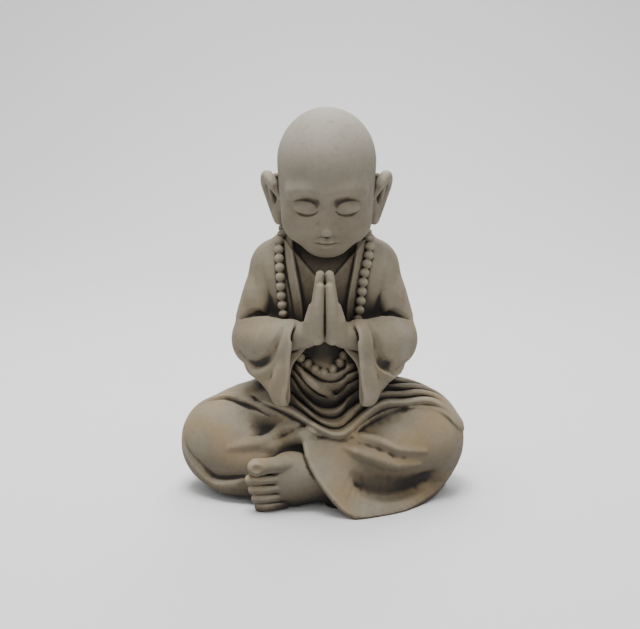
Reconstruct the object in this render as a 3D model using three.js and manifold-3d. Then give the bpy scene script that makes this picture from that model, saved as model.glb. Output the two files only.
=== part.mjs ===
// A child monk seated with crossed legs and palms together, cast in stone as one solid.
// The figure is described as a signed distance field, blended the way a modeller adds clay, then
// turned into a mesh on a grid, thinned to few triangles and cut flat under the seat.
// It faces -Y. +Z is up, and the origin is on the flat underside, below the middle of the body.
import * as THREE from 'three';
import { triTable } from 'three/addons/objects/MarchingCubes.js';
import Module from 'manifold-3d';

// Driving dimensions, in millimetres
const HEIGHT = 500; // underside to crown
const BEAD_DIAMETER = 12.4;
const BEAD_PITCH = 12.2; // along the string
const SLEEVE_WALL = 5.5; // cloth at a sleeve's mouth
const ROBE_LAYER = 5.5; // how far one layer of robe stands over the next
const LAP_LAYER = 6; // how far the lap cloth stands over the thighs
const EYELID_SLIT = 2; // width of the line between closed lids

// Mesh settings
const GRID_MM = 3; // cell of the grid on which the field is sampled
const TRIANGLES = 9400; // aimed at after thinning

// Every place, radius and blend below is in hundredths of the height.
const UNIT = HEIGHT / 100;
const bead = BEAD_DIAMETER / 2 / UNIT;
const sleeveWall = SLEEVE_WALL / UNIT;
const robeLayer = ROBE_LAYER / UNIT;
const lapLayer = LAP_LAYER / UNIT;

const { clamp, lerp, smoothstep, degToRad } = THREE.MathUtils;
const vec = (p) => new THREE.Vector3(...p);

// Forms: a form has a distance function, negative inside, and a ball that holds all of it.
const FAR = 1e3;

class Form {
  constructor(centre, reach, distance) {
    this.centre = centre;
    this.reach = reach;
    this.distance = distance;
  }

  gap(at, radius) {
    const [x, y, z] = this.centre;
    return Math.hypot(x - at[0], y - at[1], z - at[2]) - this.reach - radius;
  }

  // What of this form can matter inside a ball: itself, a smaller group, or nothing.
  near(at, radius, slack) {
    return this.gap(at, radius) > slack ? null : this;
  }
}

function ballRound(forms) {
  const box = new THREE.Box3();
  for (const f of forms) {
    box.expandByPoint(vec(f.centre).addScalar(f.reach));
    box.expandByPoint(vec(f.centre).addScalar(-f.reach));
  }
  const centre = box.getCenter(new THREE.Vector3()).toArray();
  const reach = Math.max(...forms.map((f) => vec(f.centre).distanceTo(vec(centre)) + f.reach));
  return [centre, reach];
}

// The smaller of two distances, with a soft crease of width k.
function softMin(a, b, k) {
  const h = Math.max(k - Math.abs(a - b), 0) / k;
  return Math.min(a, b) - (h * h * k) / 4;
}

// Forms run together like clay, with a crease of width k.
class Blend extends Form {
  constructor(k, forms) {
    const [centre, reach] = ballRound(forms);
    super(centre, reach + k / 4, (x, y, z) => {
      let d = FAR;
      for (const f of forms) d = softMin(d, f.distance(x, y, z), k);
      return d;
    });
    this.k = k;
    this.forms = forms;
  }

  near(at, radius, slack) {
    if (this.gap(at, radius) > slack) return null;
    const kept = this.forms.map((f) => f.near(at, radius, slack + this.k)).filter(Boolean);
    return kept.length ? new Blend(this.k, kept) : null;
  }
}

// A body with tools taken out of it, with a rim of width k.
class Carved extends Form {
  constructor(k, body, tools) {
    super(body.centre, body.reach, (x, y, z) => {
      let d = body.distance(x, y, z);
      for (const t of tools) d = -softMin(-d, t.distance(x, y, z), k);
      return d;
    });
    this.k = k;
    this.body = body;
    this.tools = tools;
  }

  near(at, radius, slack) {
    const body = this.body.near(at, radius, slack);
    if (!body) return null;
    const tools = this.tools.map((t) => t.near(at, radius, slack + this.k)).filter(Boolean);
    return tools.length ? new Carved(this.k, body, tools) : body;
  }
}

// A body whose surface is lifted by height(x, y, z), as by another layer of cloth.
class Raised extends Form {
  constructor(most, body, height) {
    super(body.centre, body.reach + most, (x, y, z) => body.distance(x, y, z) - height(x, y, z));
    this.most = most;
    this.body = body;
    this.height = height;
  }

  near(at, radius, slack) {
    const body = this.body.near(at, radius, slack + this.most);
    return body && new Raised(this.most, body, this.height);
  }
}

// A form turned about its own origin by a matrix, and moved.
class Placed extends Form {
  constructor(matrix, body) {
    const e = matrix.clone().invert().elements;
    const centre = vec(body.centre).applyMatrix4(matrix).toArray();
    super(centre, body.reach, (x, y, z) => body.distance(
      e[0] * x + e[4] * y + e[8] * z + e[12],
      e[1] * x + e[5] * y + e[9] * z + e[13],
      e[2] * x + e[6] * y + e[10] * z + e[14],
    ));
    this.matrix = matrix;
    this.body = body;
  }

  near(at, radius, slack) {
    const inside = vec(at).applyMatrix4(this.matrix.clone().invert()).toArray();
    const body = this.body.near(inside, radius, slack);
    return body && new Placed(this.matrix, body);
  }
}

const blend = (k, ...forms) => new Blend(k, forms.flat());
const carve = (k, body, ...tools) => new Carved(k, body, tools.flat());
const ball = (at, r) => new Form(at, r, (x, y, z) => Math.hypot(x - at[0], y - at[1], z - at[2]) - r);

// An ellipsoid; the distance is close enough near its surface.
function egg(at, [a, b, c]) {
  return new Form(at, Math.max(a, b, c), (x, y, z) => {
    const [u, v, w] = [(x - at[0]) / a, (y - at[1]) / b, (z - at[2]) / c];
    const k0 = Math.hypot(u, v, w);
    const k1 = Math.hypot(u / a, v / b, w / c);
    return k1 < 1e-9 ? -Math.min(a, b, c) : (k0 * (k0 - 1)) / k1;
  });
}

// A round bar from a to b whose radius changes evenly.
function cone(a, b, ra, rb) {
  const [dx, dy, dz] = [b[0] - a[0], b[1] - a[1], b[2] - a[2]];
  const len2 = dx * dx + dy * dy + dz * dz || 1e-9;
  const mid = [0, 1, 2].map((i) => (a[i] + b[i]) / 2);
  return new Form(mid, Math.sqrt(len2) / 2 + Math.max(ra, rb), (x, y, z) => {
    const [px, py, pz] = [x - a[0], y - a[1], z - a[2]];
    const t = clamp((px * dx + py * dy + pz * dz) / len2, 0, 1);
    return Math.hypot(px - t * dx, py - t * dy, pz - t * dz) - ra - t * (rb - ra);
  });
}

// A value that runs through the given ones as t goes from 0 to 1.
function along(values, t) {
  const s = clamp(t, 0, 1) * (values.length - 1);
  const i = Math.min(Math.floor(s), values.length - 2);
  return lerp(values[i], values[i + 1], s - i);
}

// A value that runs smoothly through the given ones as t goes from 0 to 1.
function flowing(values, t) {
  const s = clamp(t, 0, 1) * (values.length - 1);
  const i = Math.min(Math.floor(s), values.length - 2);
  const w = s - i;
  const [a, b, c, d] = [-1, 0, 1, 2].map((n) => values[clamp(i + n, 0, values.length - 1)]);
  return b + 0.5 * w * (c - a + w * (2 * a - 5 * b + 4 * c - d + w * (3 * (b - c) + d - a)));
}

// A limb, finger or fold: a bar along a smooth curve through points, of changing radius.
function limb(points, radii, steps = 4 * (points.length - 1)) {
  const curve = new THREE.CatmullRomCurve3(points.map(vec), false, 'centripetal');
  const bars = [];
  for (let i = 0; i < steps; i++) {
    const [s, t] = [i / steps, (i + 1) / steps];
    const ends = [curve.getPoint(s).toArray(), curve.getPoint(t).toArray()];
    bars.push(cone(...ends, along(radii, s), along(radii, t)));
  }
  return blend(0.01, bars);
}

// A triangle of cloth or flesh, as thick as the radius given at each corner.
function web(corners, radii) {
  const [a, b, c] = corners.map(vec);
  const triangle = new THREE.Triangle(a, b, c);
  const [p, q, share] = [new THREE.Vector3(), new THREE.Vector3(), new THREE.Vector3()];
  const centre = a.clone().add(b).add(c).divideScalar(3);
  const reach = Math.max(...[a, b, c].map((corner) => corner.distanceTo(centre))) + Math.max(...radii);
  return new Form(centre.toArray(), reach, (x, y, z) => {
    triangle.closestPointToPoint(p.set(x, y, z), q);
    triangle.getBarycoord(q, share);
    return p.distanceTo(q) - share.x * radii[0] - share.y * radii[1] - share.z * radii[2];
  });
}

// Where a point comes to rest on a form, or that far above its surface.
function settle(form, point, above = 0) {
  const p = [...point];
  const e = 0.05;
  for (let turn = 0; turn < 6; turn++) {
    const d = form.distance(...p);
    const slope = [0, 1, 2].map((i) => {
      const q = [...p];
      q[i] += e;
      return (form.distance(...q) - d) / e;
    });
    const steepness = Math.hypot(...slope) || 1;
    slope.forEach((g, i) => {
      p[i] -= ((d - above) * g) / steepness;
    });
  }
  return p;
}

// A curve laid on a form, thinning to nothing at both ends, as a ridge or a tool for a crease.
// Height says how proud of the form it lies: at a half, its middle is on the surface.
function fold(form, points, thickness, height = 0.3, count = 10) {
  const curve = new THREE.CatmullRomCurve3(points.map(vec), false, 'centripetal');
  const laid = curve.getPoints(count).map((p) => settle(form, p.toArray(), (height - 0.5) * thickness));
  return limb(laid, [0.2, 0.75, 1, 1, 0.75, 0.2].map((share) => share * thickness), count);
}

// Folds that pass evenly from one route to another; both routes have the same number of points.
function folds(form, first, last, count, thickness, height = 0.3) {
  return Array.from({ length: count }, (_, n) => {
    const share = count > 1 ? n / (count - 1) : 0;
    const route = first.map((p, i) => p.map((v, axis) => lerp(v, last[i][axis], share)));
    return fold(form, route, thickness, height);
  });
}

const SIDES = [-1, 1];

// Head: modelled upright round its own origin between the ears, then bowed and set on the neck.
const HEAD_AT = [0.5, -6.5, 83.4];
const HEAD_BOW = 21; // degrees

function ear(side) {
  const at = (x, y, z) => [side * x, y, z];
  const leaning = new THREE.Matrix4()
    .makeRotationZ(side * degToRad(-28))
    .premultiply(new THREE.Matrix4().makeRotationX(degToRad(-12)))
    .setPosition(side * 12.8, 2.2, -7.4);
  const flap = new Placed(leaning, egg([0, 0, 0], [1.5, 3.8, 6]));
  const rim = limb([
    at(12, -0.8, -5.6), at(13.6, -0.6, -2.6), at(15.3, 2.6, -1.8),
    at(15.9, 4.8, -5), at(14.8, 4.2, -9), at(12.9, 2, -13),
  ], [1, 1.35, 1.45, 1.2, 1.1, 1.4], 16);
  const bowl = egg(at(15.1, 1, -6.6), [2.5, 2.3, 3.7]);
  const ridge = limb([at(14.9, 3.2, -3.8), at(14.6, 2.8, -6.4), at(13.8, 2, -9.6)], [0.7, 0.6, 0.5]);
  const lobe = egg(at(12.4, 0.6, -12.6), [1.6, 2, 2.4]);
  return blend(0.6, carve(0.5, blend(0.8, flap, lobe), bowl), rim, ridge);
}

function head() {
  const both = (build) => SIDES.map((s) => build((x, y, z) => [s * x, y, z]));
  const skull = egg([0, 1.6, 3], [12.6, 14.6, 13.2]);
  const jaw = egg([0, -3.2, -7.6], [11.3, 9.8, 10.4]);
  const cheeks = both((at) => egg(at(5.6, -8.2, -9.6), [5.2, 4.2, 5]));
  const chin = egg([0, -9.4, -15.6], [4.6, 3.2, 2.9]);
  const brows = both((at) => limb([at(1.7, -12.6, 0.2), at(5, -12.3, 1.5), at(9, -9.6, 0)], [0.4, 0.5, 0.2]));
  const sockets = both((at) => egg(at(5.1, -14.2, -1.5), [4.4, 2.2, 2]));
  const upperLids = both((at) => egg(at(5.1, -10.3, -3.5), [3.6, 2.8, 2.3]));
  const lowerLids = both((at) => egg(at(5.1, -9.9, -5.7), [3.2, 2.3, 1.6]));
  const nose = limb([[0, -12, -1], [0, -12.8, -5], [0, -13.9, -8.4]], [0.9, 1.15, 1.5]);
  const wings = both((at) => egg(at(1.9, -12.6, -8.9), [1.25, 1.35, 1.1]));
  const upperLip = limb([
    [-3.2, -11.6, -12.6], [-1.1, -12.9, -12], [0, -12.9, -12.2], [1.1, -12.9, -12], [3.2, -11.6, -12.6],
  ], [0.4, 0.85, 0.8, 0.85, 0.4]);
  const lowerLip = limb([
    [-2.7, -11.7, -13.2], [-1.3, -12.4, -13.7], [0, -12.6, -13.8], [1.3, -12.4, -13.7], [2.7, -11.7, -13.2],
  ], [0.5, 0.85, 0.95, 0.85, 0.5]);
  const flesh = blend(4, blend(6, skull, jaw), cheeks, chin);
  const hollowed = carve(1.8, blend(3, flesh, brows), sockets);
  const lids = blend(0.35, blend(0.7, hollowed, lowerLids), upperLids);
  const features = blend(0.6, blend(1.2, lids, nose, wings), upperLip, lowerLip);
  const closed = both((at) => fold(features, [
    at(1.9, -12, -4.1), at(3.6, -12.9, -5), at(5.6, -12.9, -5.1), at(8.5, -11, -3.9),
  ], EYELID_SLIT / UNIT, 0.6, 12));
  const mouth = fold(features, [[-3.6, -11.6, -12.9], [0, -13.6, -13], [3.6, -11.6, -12.9]], 0.42, 0.5, 8);
  const bow = new THREE.Matrix4().makeRotationX(degToRad(HEAD_BOW)).setPosition(...HEAD_AT);
  return new Placed(bow, blend(0.9, carve(0.4, features, closed, mouth), ear(-1), ear(1)));
}

// Torso: body, neck and the layers of robe on the chest.
const torso = blend(7,
  egg([0, 1.5, 50], [14.4, 10.8, 14.4]),
  egg([0, 0.5, 35], [15.4, 13.4, 14.4]),
  limb([[-12.5, 2.5, 58], [0, 3, 61], [12.5, 2.5, 58]], [5.2, 5.8, 5.2]),
);

// The open front of the outer robe: half the gap between its edges, by height.
const robeOpening = (z) => lerp(5.4, 8.2, smoothstep(z, 46, 66));

// How far the two robes stand over the body. The inner one crosses at the neck; the outer one is
// open in front and has a band along its edge.
function robeHeight(x, y, z) {
  const front = smoothstep(-y, -2, 3) * smoothstep(z, 30, 37);
  const edge = Math.abs(x) - robeOpening(z);
  const outer = smoothstep(edge, -0.3, 0.3) - 0.35 * Math.exp(-(((edge - 2.7) / 0.35) ** 2));
  const inner = smoothstep(54.4 + 1.1 * Math.abs(x) - z, -0.3, 0.3);
  return robeLayer * (lerp(1, outer, front) + 0.7 * lerp(1, inner, front));
}

function robes() {
  const collar = limb([
    [-7.8, -0.5, 64.4], [-6.8, 5, 66.2], [0, 8.4, 66.8], [6.8, 5, 66.2], [7.8, -0.5, 64.4],
  ], [2, 2.4, 2.6, 2.4, 2], 12);
  const robe = new Raised(1.7 * robeLayer, blend(3, torso, collar), robeHeight);
  const pleats = SIDES.map((s) => fold(robe, [
    [s * 15, -2, 62], [s * 14.4, -6, 57], [s * 13.6, -8, 52], [s * 13, -9, 47],
  ], 1.6, -0.05));
  const back = folds(robe,
    [[-4, 11, 61], [-8, 13, 48], [-12, 13, 30]],
    [[8, 11, 60], [5, 13, 46], [4, 14, 28]], 4, 1.6, 0.1);
  const neck = limb([[0, 4.5, 60], [0, 1, 72], [0, -3, 80]], [7.4, 6.9, 7.4]);
  return blend(1, robe, pleats, back, neck);
}

// The crease under each forearm, by side, and how deep it is cut.
const UNDERARM = {
  '-1': [
    [-10.5, -19.6, 47], [-11.6, -21, 43.5], [-13.3, -18.5, 39], [-16.6, -15, 35.8], [-20, -11.4, 35.4],
  ],
  1: [
    [9.6, -19.6, 47.4], [11.8, -20.5, 44.4], [12.4, -19.3, 40.2], [14, -16.4, 36], [16.4, -16.4, 34],
    [19.2, -12.4, 33.6],
  ],
};
const UNDERARM_DEPTH = { '-1': 0.9, 1: 1.35 };

// An arm in a wide sleeve that hangs from the wrist, with its mouth towards the hands.
function sleeve(side) {
  const at = (x, y, z) => [side * x, y, z];
  const [shoulder, upper, elbow] = [at(13.4, 2.2, 57), at(16.6, 0, 48.5), at(18.2, -3, 39.8)];
  const [fore, wrist] = [at(13.8, -11.5, 40.8), at(9, -17.2, 42.6)];
  const [tip, low, drop] = [at(10.8, -19.4, 28.8), at(17.4, -9, 35), at(18.5, -3.4, 37.2)];
  const arm = blend(1, limb([shoulder, upper, elbow], [6, 5.8, 6]), limb([elbow, fore, wrist], [6.2, 6, 5]));
  const hang = blend(2, web([drop, wrist, low], [5, 3, 3.2]), web([wrist, tip, low], [3.2, 2.4, 3.2]));
  const cuff = limb([at(8.4, -18.8, 44.6), at(9, -20.2, 37), at(10.6, -19.8, 28.8)], [2.8, 2.5, 2.4], 6);
  const cloth = blend(2.2, arm, blend(2.5, hang, cuff));
  const mouth = web(
    [at(5.4, -19.6, 43.4), at(7.8, -20.2, 29), at(10.8, -16.6, 41)],
    [5 - sleeveWall, 3.1 - sleeveWall / 2, 1.7],
  );
  const ridges = [
    fold(cloth, [at(17.6, -2, 60), at(16.2, -5.4, 54.6), at(15.4, -7.4, 49), at(17, -8, 46)], 2, -0.05),
    fold(cloth, [at(20, -2, 57), at(20, -4.4, 51.6), at(19.6, -6.6, 47.6)], 2, -0.1),
    fold(cloth, [at(22, -4, 45), at(18, -9, 46.4), at(14, -12, 46.6), at(10, -16, 47)], 1.6, -0.1),
    fold(cloth, [at(13, -22, 40), at(14.6, -19, 35.4), at(18, -13, 32.6), at(21, -8, 33)], 1.8, 0),
    fold(cloth, [at(11.4, -22, 38), at(12.2, -21, 33), at(12.4, -20, 28)], 1.5, -0.05),
    ...folds(cloth,
      [at(22, 2, 50), at(23.6, 2, 43), at(20, 3, 34)],
      [at(17, 7, 52), at(19, 7, 44), at(17, 6, 36)], 2, 1.8, 0),
  ];
  const creases = [
    limb([at(11.8, -9.6, 58), at(12.4, -10.4, 48)], [0.5, 1.5]),
    fold(cloth, [at(12.5, -9.5, 47.6), at(17, -7.2, 47.4), at(22, -5, 45.2)], 0.8, 0.4),
    fold(cloth, UNDERARM[side], UNDERARM_DEPTH[side], 0.5, 12),
  ];
  const elbowFold = [[16, -7.8, 46.6], [18.7, -10, 45.5], [19.6, -12.8, 42.5], [19, -14, 39]];
  if (side > 0) ridges.push(fold(cloth, elbowFold, 1.4, 0.1));
  return carve(1, blend(1, cloth, ridges), mouth, creases);
}

// Hands pressed palm to palm. For each finger: x at its root, middle and tip, y likewise, and z
// at the tip.
const FINGERS = [
  { x: [3.7, 3.6, 3], y: [-21.4, -21.8, -21.4], z: 52 },
  { x: [2.05, 1.7, 1.1], y: [-22.4, -22.7, -22], z: 57.2 },
  { x: [2.1, 1.8, 1.15], y: [-20.4, -20.9, -20.3], z: 60 },
  { x: [2.1, 1.8, 1.2], y: [-18.4, -18.8, -18.3], z: 58.6 },
];
const FINGER_ROOT = 44.6; // height

function hand(side) {
  const [little, ...rest] = FINGERS.map(({ x, y, z }) => {
    const heights = [FINGER_ROOT, (FINGER_ROOT + z) / 2, z];
    return limb(heights.map((height, i) => [side * x[i], y[i], height]), [2, 1.65, 1.1], 8);
  });
  const palm = limb([[side * 1.9, -21.6, 44.7], [side * 4, -20.8, 44.7]], [2.3, 2.1]);
  const heel = egg([side * 2.8, -19.4, 45.6], [2.7, 4, 3.4]);
  const arm = limb([[side * 12, -14.5, 42], [side * 4.8, -19.2, 44.4]], [3.5, 3.4]);
  const thumb = limb([[side * 3, -16, 46], [side * 1.6, -14, 51], [side * 1.1, -13.6, 55]], [2, 1.5, 1.1]);
  return blend(0.4, blend(1, heel, palm, little), rest, thumb, arm);
}

// Cloth of the right leg: a sheet that falls over the ankle and spreads on the ground.
function flare() {
  const smooth = (points) => new THREE.CatmullRomCurve3(points.map(vec), false, 'centripetal')
    .getPoints(22).map((p) => p.toArray());
  const rim = smooth([
    [-4.8, -21, 18.8], [-4.2, -24.4, 14.6], [-1.8, -27.4, 10], [1.6, -29.4, 5.6], [5, -30.6, 2.2],
    [8, -31.2, 0.5], [13.6, -29.2, 0], [19.2, -26.4, 0], [24.4, -21.4, 0.6], [29.4, -16.4, 2.4],
    [32.8, -12, 6], [34.8, -9.6, 11], [34.8, -8, 17],
  ]);
  const root = smooth([
    [1, -19, 18], [3, -21, 15], [5, -23, 12], [6.6, -24, 9.6], [8, -23.4, 8],
    [10.4, -22.4, 7], [14, -20.6, 6.4], [18, -18.4, 6.2], [22.6, -15.8, 6.6], [26.6, -12.8, 8.4],
    [29.6, -10.8, 11], [30.6, -9.4, 13.6], [31, -8, 17],
  ]);
  const sheet = [];
  for (let i = 0; i + 1 < rim.length; i++) {
    sheet.push(web([rim[i], rim[i + 1], root[i]], [1, 1, 1.6]));
    sheet.push(web([root[i], root[i + 1], rim[i + 1]], [1.6, 1.6, 1]));
  }
  const under = limb([[4, -21, 1.4], [12, -18, 0.4], [21, -12, 1], [27, -6, 4]], [4, 4.8, 5.4, 5.8], 10);
  return blend(1.6, blend(0.05, sheet), under);
}

// Thighs and shins under cloth, crossed in front.
function legs() {
  const hips = egg([0, 7, 13], [25, 15, 16]);
  const left = blend(5,
    limb([[-11, 5, 14], [-20, -1.5, 14.4], [-27, -5.6, 13.4]], [12, 11.6, 10.8]),
    limb([[-26.6, -8.4, 10.2], [-15, -14, 8.4], [-4, -17, 8]], [9.2, 8.4, 7]));
  const right = blend(5,
    limb([[11, 5, 14], [19, -2, 14.6], [25.4, -6, 13.8]], [12, 11.8, 11]),
    limb([[25, -9.4, 12], [16, -15.8, 12.2], [7, -18.6, 12.4]], [9.2, 7.8, 6.6]));
  const lap = web([[-13, -9, 20], [14, -9, 20], [1.5, -18.6, 14.5]], [6, 6, 4.6]);
  const flesh = blend(3, left, right, hips, lap);
  const roll = limb([
    [-35.6, -7, 9.8], [-32, -13, 6.6], [-26.6, -17, 4], [-18, -19.8, 3.8],
  ], [1.2, 2.2, 2.6, 2.4], 10);
  const cloth = blend(2.4, flesh, roll, flare());
  const shinFolds = [
    fold(cloth, [
      [-24.4, -18.4, 14.2], [-19.4, -18.9, 15.6], [-15.6, -19, 16.8], [-11, -18.2, 19], [-6, -18.6, 21],
    ], 2, 0.3),
    fold(cloth, [[-16, -20, 14.6], [-10.4, -19.6, 16.4], [-5, -20.6, 18.2], [-1, -21, 19]], 1.9, 0.3),
    fold(cloth, [
      [8, -21.6, 18.6], [10.2, -21.7, 18.2], [15, -22.4, 16.9], [19, -23, 15.5], [26, -20.2, 13.7],
    ], 1.4, 0.45, 12),
    fold(cloth, [
      [5, -25, 17.2], [8.6, -26, 16], [13.6, -26.4, 13.6], [17.8, -25, 11.4], [24.6, -21, 10.2],
    ], 1.8, 0.45, 14),
  ];
  const hollow = fold(cloth, [
    [6, -26, 10], [8, -26, 8], [11, -26, 5.6], [16.4, -24.7, 4.2], [22, -21.2, 4.4], [27.6, -17.5, 7],
    [31, -15.4, 11],
  ], 2.4, 0.85, 14);
  const underThigh = fold(cloth, [
    [-37.8, -8, 16], [-37.4, -10, 13.8], [-35.8, -13, 11.2], [-32.5, -15.7, 8.9],
    [-28.6, -17.4, 6], [-26, -18.4, 5.8], [-20.6, -20.2, 7.4],
  ], 1, 0.4, 14);
  return carve(1.2, blend(1.2, cloth, shinFolds), underThigh, hollow);
}

// The lower edge of the lap cloth: its height, how far forward it lies, and how far apart the
// folds above it are, by place across.
const HEM = {
  from: -38,
  to: 37,
  height: [21, 23.4, 25, 25, 24.4, 23.2, 21, 18.6, 17.8, 20.2, 22, 23, 23.2, 21, 15.6],
  forward: [-6, -7, -7.6, -10, -13.6, -16, -18.6, -21.6, -21.4, -17, -13, -11.4, -10.6, -10.6, -11],
  pitch: [2.2, 2.2, 2.2, 2.2, 2.3, 2.5, 2.9, 3.1, 3, 2.7, 2.5, 2.3, 2.2, 2, 2],
};
const HEM_BACK = 6; // its height at the back
const SWAG_DEPTH = 1.5; // how deep its folds are
const SWAGS = 7; // how many there are

// How far the lap cloth and its folds stand over the body.
function drape(x, y, z) {
  const across = (x - HEM.from) / (HEM.to - HEM.from);
  const behind = y + 0.3 * Math.max(Math.abs(x) - 22, 0);
  const front = 1 - smoothstep(behind, -1, 12);
  const above = z - lerp(HEM_BACK, flowing(HEM.height, across), front);
  const rise = above - 0.07 * Math.min((x + 1.2) ** 2, 50) * smoothstep(above, -1, 10);
  const even = (rise + 0.5 * (y - flowing(HEM.forward, across))) / flowing(HEM.pitch, across);
  const run = even + 0.12 * Math.sin(0.33 * x + 0.9 * even);
  const sides = smoothstep(x, -34, -8) * lerp(1, 0.3, smoothstep(x, 28, 38));
  const layer = smoothstep(rise, -0.5, 0.5) * smoothstep(38 - z, 0, 5) * sides;
  const swag = Math.abs(Math.sin(Math.PI * clamp(run, 0, SWAGS))) ** 0.8;
  const fade = front * smoothstep(SWAGS - run, 0, 1.5) * smoothstep(x, -16, -7) * smoothstep(36 - x, 0, 10);
  const deep = SWAG_DEPTH * (0.85 + 0.15 * Math.sin(0.5 * x + 2.1 * run));
  return lapLayer * layer + deep * (swag - 0.6) * fade * layer;
}

// Foot lying on its outer edge, toes to the left, showing its back.
function foot() {
  const body = blend(3, egg([-8.4, -23.4, 7.6], [7.4, 3.8, 7.3]), egg([2, -22.6, 7.2], [8.6, 3.7, 6.4]));
  const toes = [8.5, 6, 3.6, 1.4].map((z, i) => limb([
    [-10, -25, z], [-15.6 + 0.3 * i, -26.7, z], [-18.9 + 0.8 * i, -26, z - 0.2],
  ], [1.1, 1.15, 1.35], 6));
  const bigToe = limb([[-9, -24.4, 12.2], [-14.4, -26.4, 12.2], [-17.2, -26.8, 11.9]], [2.2, 2, 2.3], 6);
  return blend(0.35, body, toes, bigToe);
}

// Beads of the long string, spaced along a line laid on the chest and round the neck.
function beads(body) {
  const left = [
    [-6.6, 8, 68], [-8.8, 2, 66.6], [-10.6, -4, 62.6], [-11, -6.4, 58], [-10.8, -8.6, 51], [-9.4, -11, 43],
    [-5.6, -14, 36.6],
  ];
  const right = [
    [6.6, 8, 68], [8.8, 2, 66.6], [10.2, -4, 62.6], [10.2, -7.4, 57], [9, -9.8, 50], [7.6, -12, 43],
    [4.8, -14, 36.6],
  ];
  const guide = [[-0.2, -15, 33.4], ...right.reverse(), [0, 11, 68], ...left];
  const laid = guide.map((p) => vec(settle(body, p, 0.5 * bead)));
  const route = new THREE.CatmullRomCurve3(laid, true, 'centripetal');
  const count = Math.round(route.getLength() / (BEAD_PITCH / UNIT));
  const places = route.getSpacedPoints(count).slice(0, -1);
  return places.map((p) => ball(settle(body, p.toArray(), 0.55 * bead), bead));
}

// Folds of the lap cloth over the left thigh
const THIGH_FOLDS = [
  [
    [-32.6, -7, 22.9], [-28.8, -6.6, 24.6], [-24, -7.5, 25.4], [-21, -9.4, 24.7], [-15.7, -13.9, 23.4],
    [-8.6, -17.2, 21],
  ],
  [[-25.4, -4.6, 25.6], [-21.3, -6, 26.4], [-17.1, -12, 25.7], [-13, -15, 23.6], [-10, -16.2, 21.9]],
];

function figure() {
  const robe = robes();
  const lower = new Raised(lapLayer + SWAG_DEPTH, blend(2.5, robe, legs()), drape);
  const ridges = [
    ...folds(lower,
      [[-8, 20, 27], [-14, 22, 16], [-20, 22, 6]],
      [[8, 20, 27], [14, 22, 16], [22, 20, 6]], 5, 1.6, 0.5),
    ...THIGH_FOLDS.map((route) => fold(lower, route, 1.5, 0.2, 12)),
    fold(lower, [
      [-6, -15, 33.6], [-4.8, -15, 32.4], [-2.5, -15.4, 30.4], [1.6, -14.2, 26.9], [3, -14.6, 26],
    ], 1.2, 0.4),
  ];
  const below = ([x, y, z]) => [x, y - 0.4, z - 1.4];
  const creases = THIGH_FOLDS.map((route) => fold(lower, route.map(below), 0.6, 0.6, 12));
  const folded = carve(0.8, blend(0.8, lower, ridges), creases);
  const body = blend(1.2, folded, sleeve(-1), sleeve(1));
  return blend(0.3, body, head(), foot(), hand(-1), hand(1), blend(0.15, beads(robe)));
}

// Samples the field on a grid. Blocks far from the surface are filled with their sign, and the
// lowest two layers are left empty, so that the surface closes there.
function sample(form, low, high, cell) {
  const size = [0, 1, 2].map((i) => Math.ceil((high[i] - low[i]) / cell / 8) * 8 + 1);
  const [nx, ny, nz] = size;
  const values = new Float32Array(nx * ny * nz);
  const radius = 4 * cell * Math.sqrt(3);
  const place = (i, j, k) => [low[0] + i * cell, low[1] + j * cell, low[2] + k * cell];
  const fill = (i, j, k) => {
    const at = place(i + 4, j + 4, k + 4);
    const nearby = form.near(at, radius, 1);
    const middle = nearby ? nearby.distance(...at) : FAR;
    const solid = Math.abs(middle) > 1.4 * radius + 1 ? middle : null;
    for (let c = k; c < Math.min(k + 8, nz); c++) {
      for (let b = j; b < Math.min(j + 8, ny); b++) {
        for (let a = i; a < Math.min(i + 8, nx); a++) {
          const d = solid ?? nearby.distance(...place(a, b, c));
          values[(c * ny + b) * nx + a] = Math.max(d, (1.5 - c) * cell);
        }
      }
    }
  };
  for (let k = 0; k < nz; k += 8) {
    for (let j = 0; j < ny; j += 8) {
      for (let i = 0; i < nx; i += 8) fill(i, j, k);
    }
  }
  return { values, size, low, cell };
}

// Corners of a cell, and the pairs of corners that its edges join, in the order of the table.
const CORNERS = [[0, 0, 0], [1, 0, 0], [1, 1, 0], [0, 1, 0], [0, 0, 1], [1, 0, 1], [1, 1, 1], [0, 1, 1]];
const EDGES = [
  [0, 1], [1, 2], [3, 2], [0, 3], [4, 5], [5, 6], [7, 6], [4, 7], [0, 4], [1, 5], [2, 6], [3, 7],
];

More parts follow.
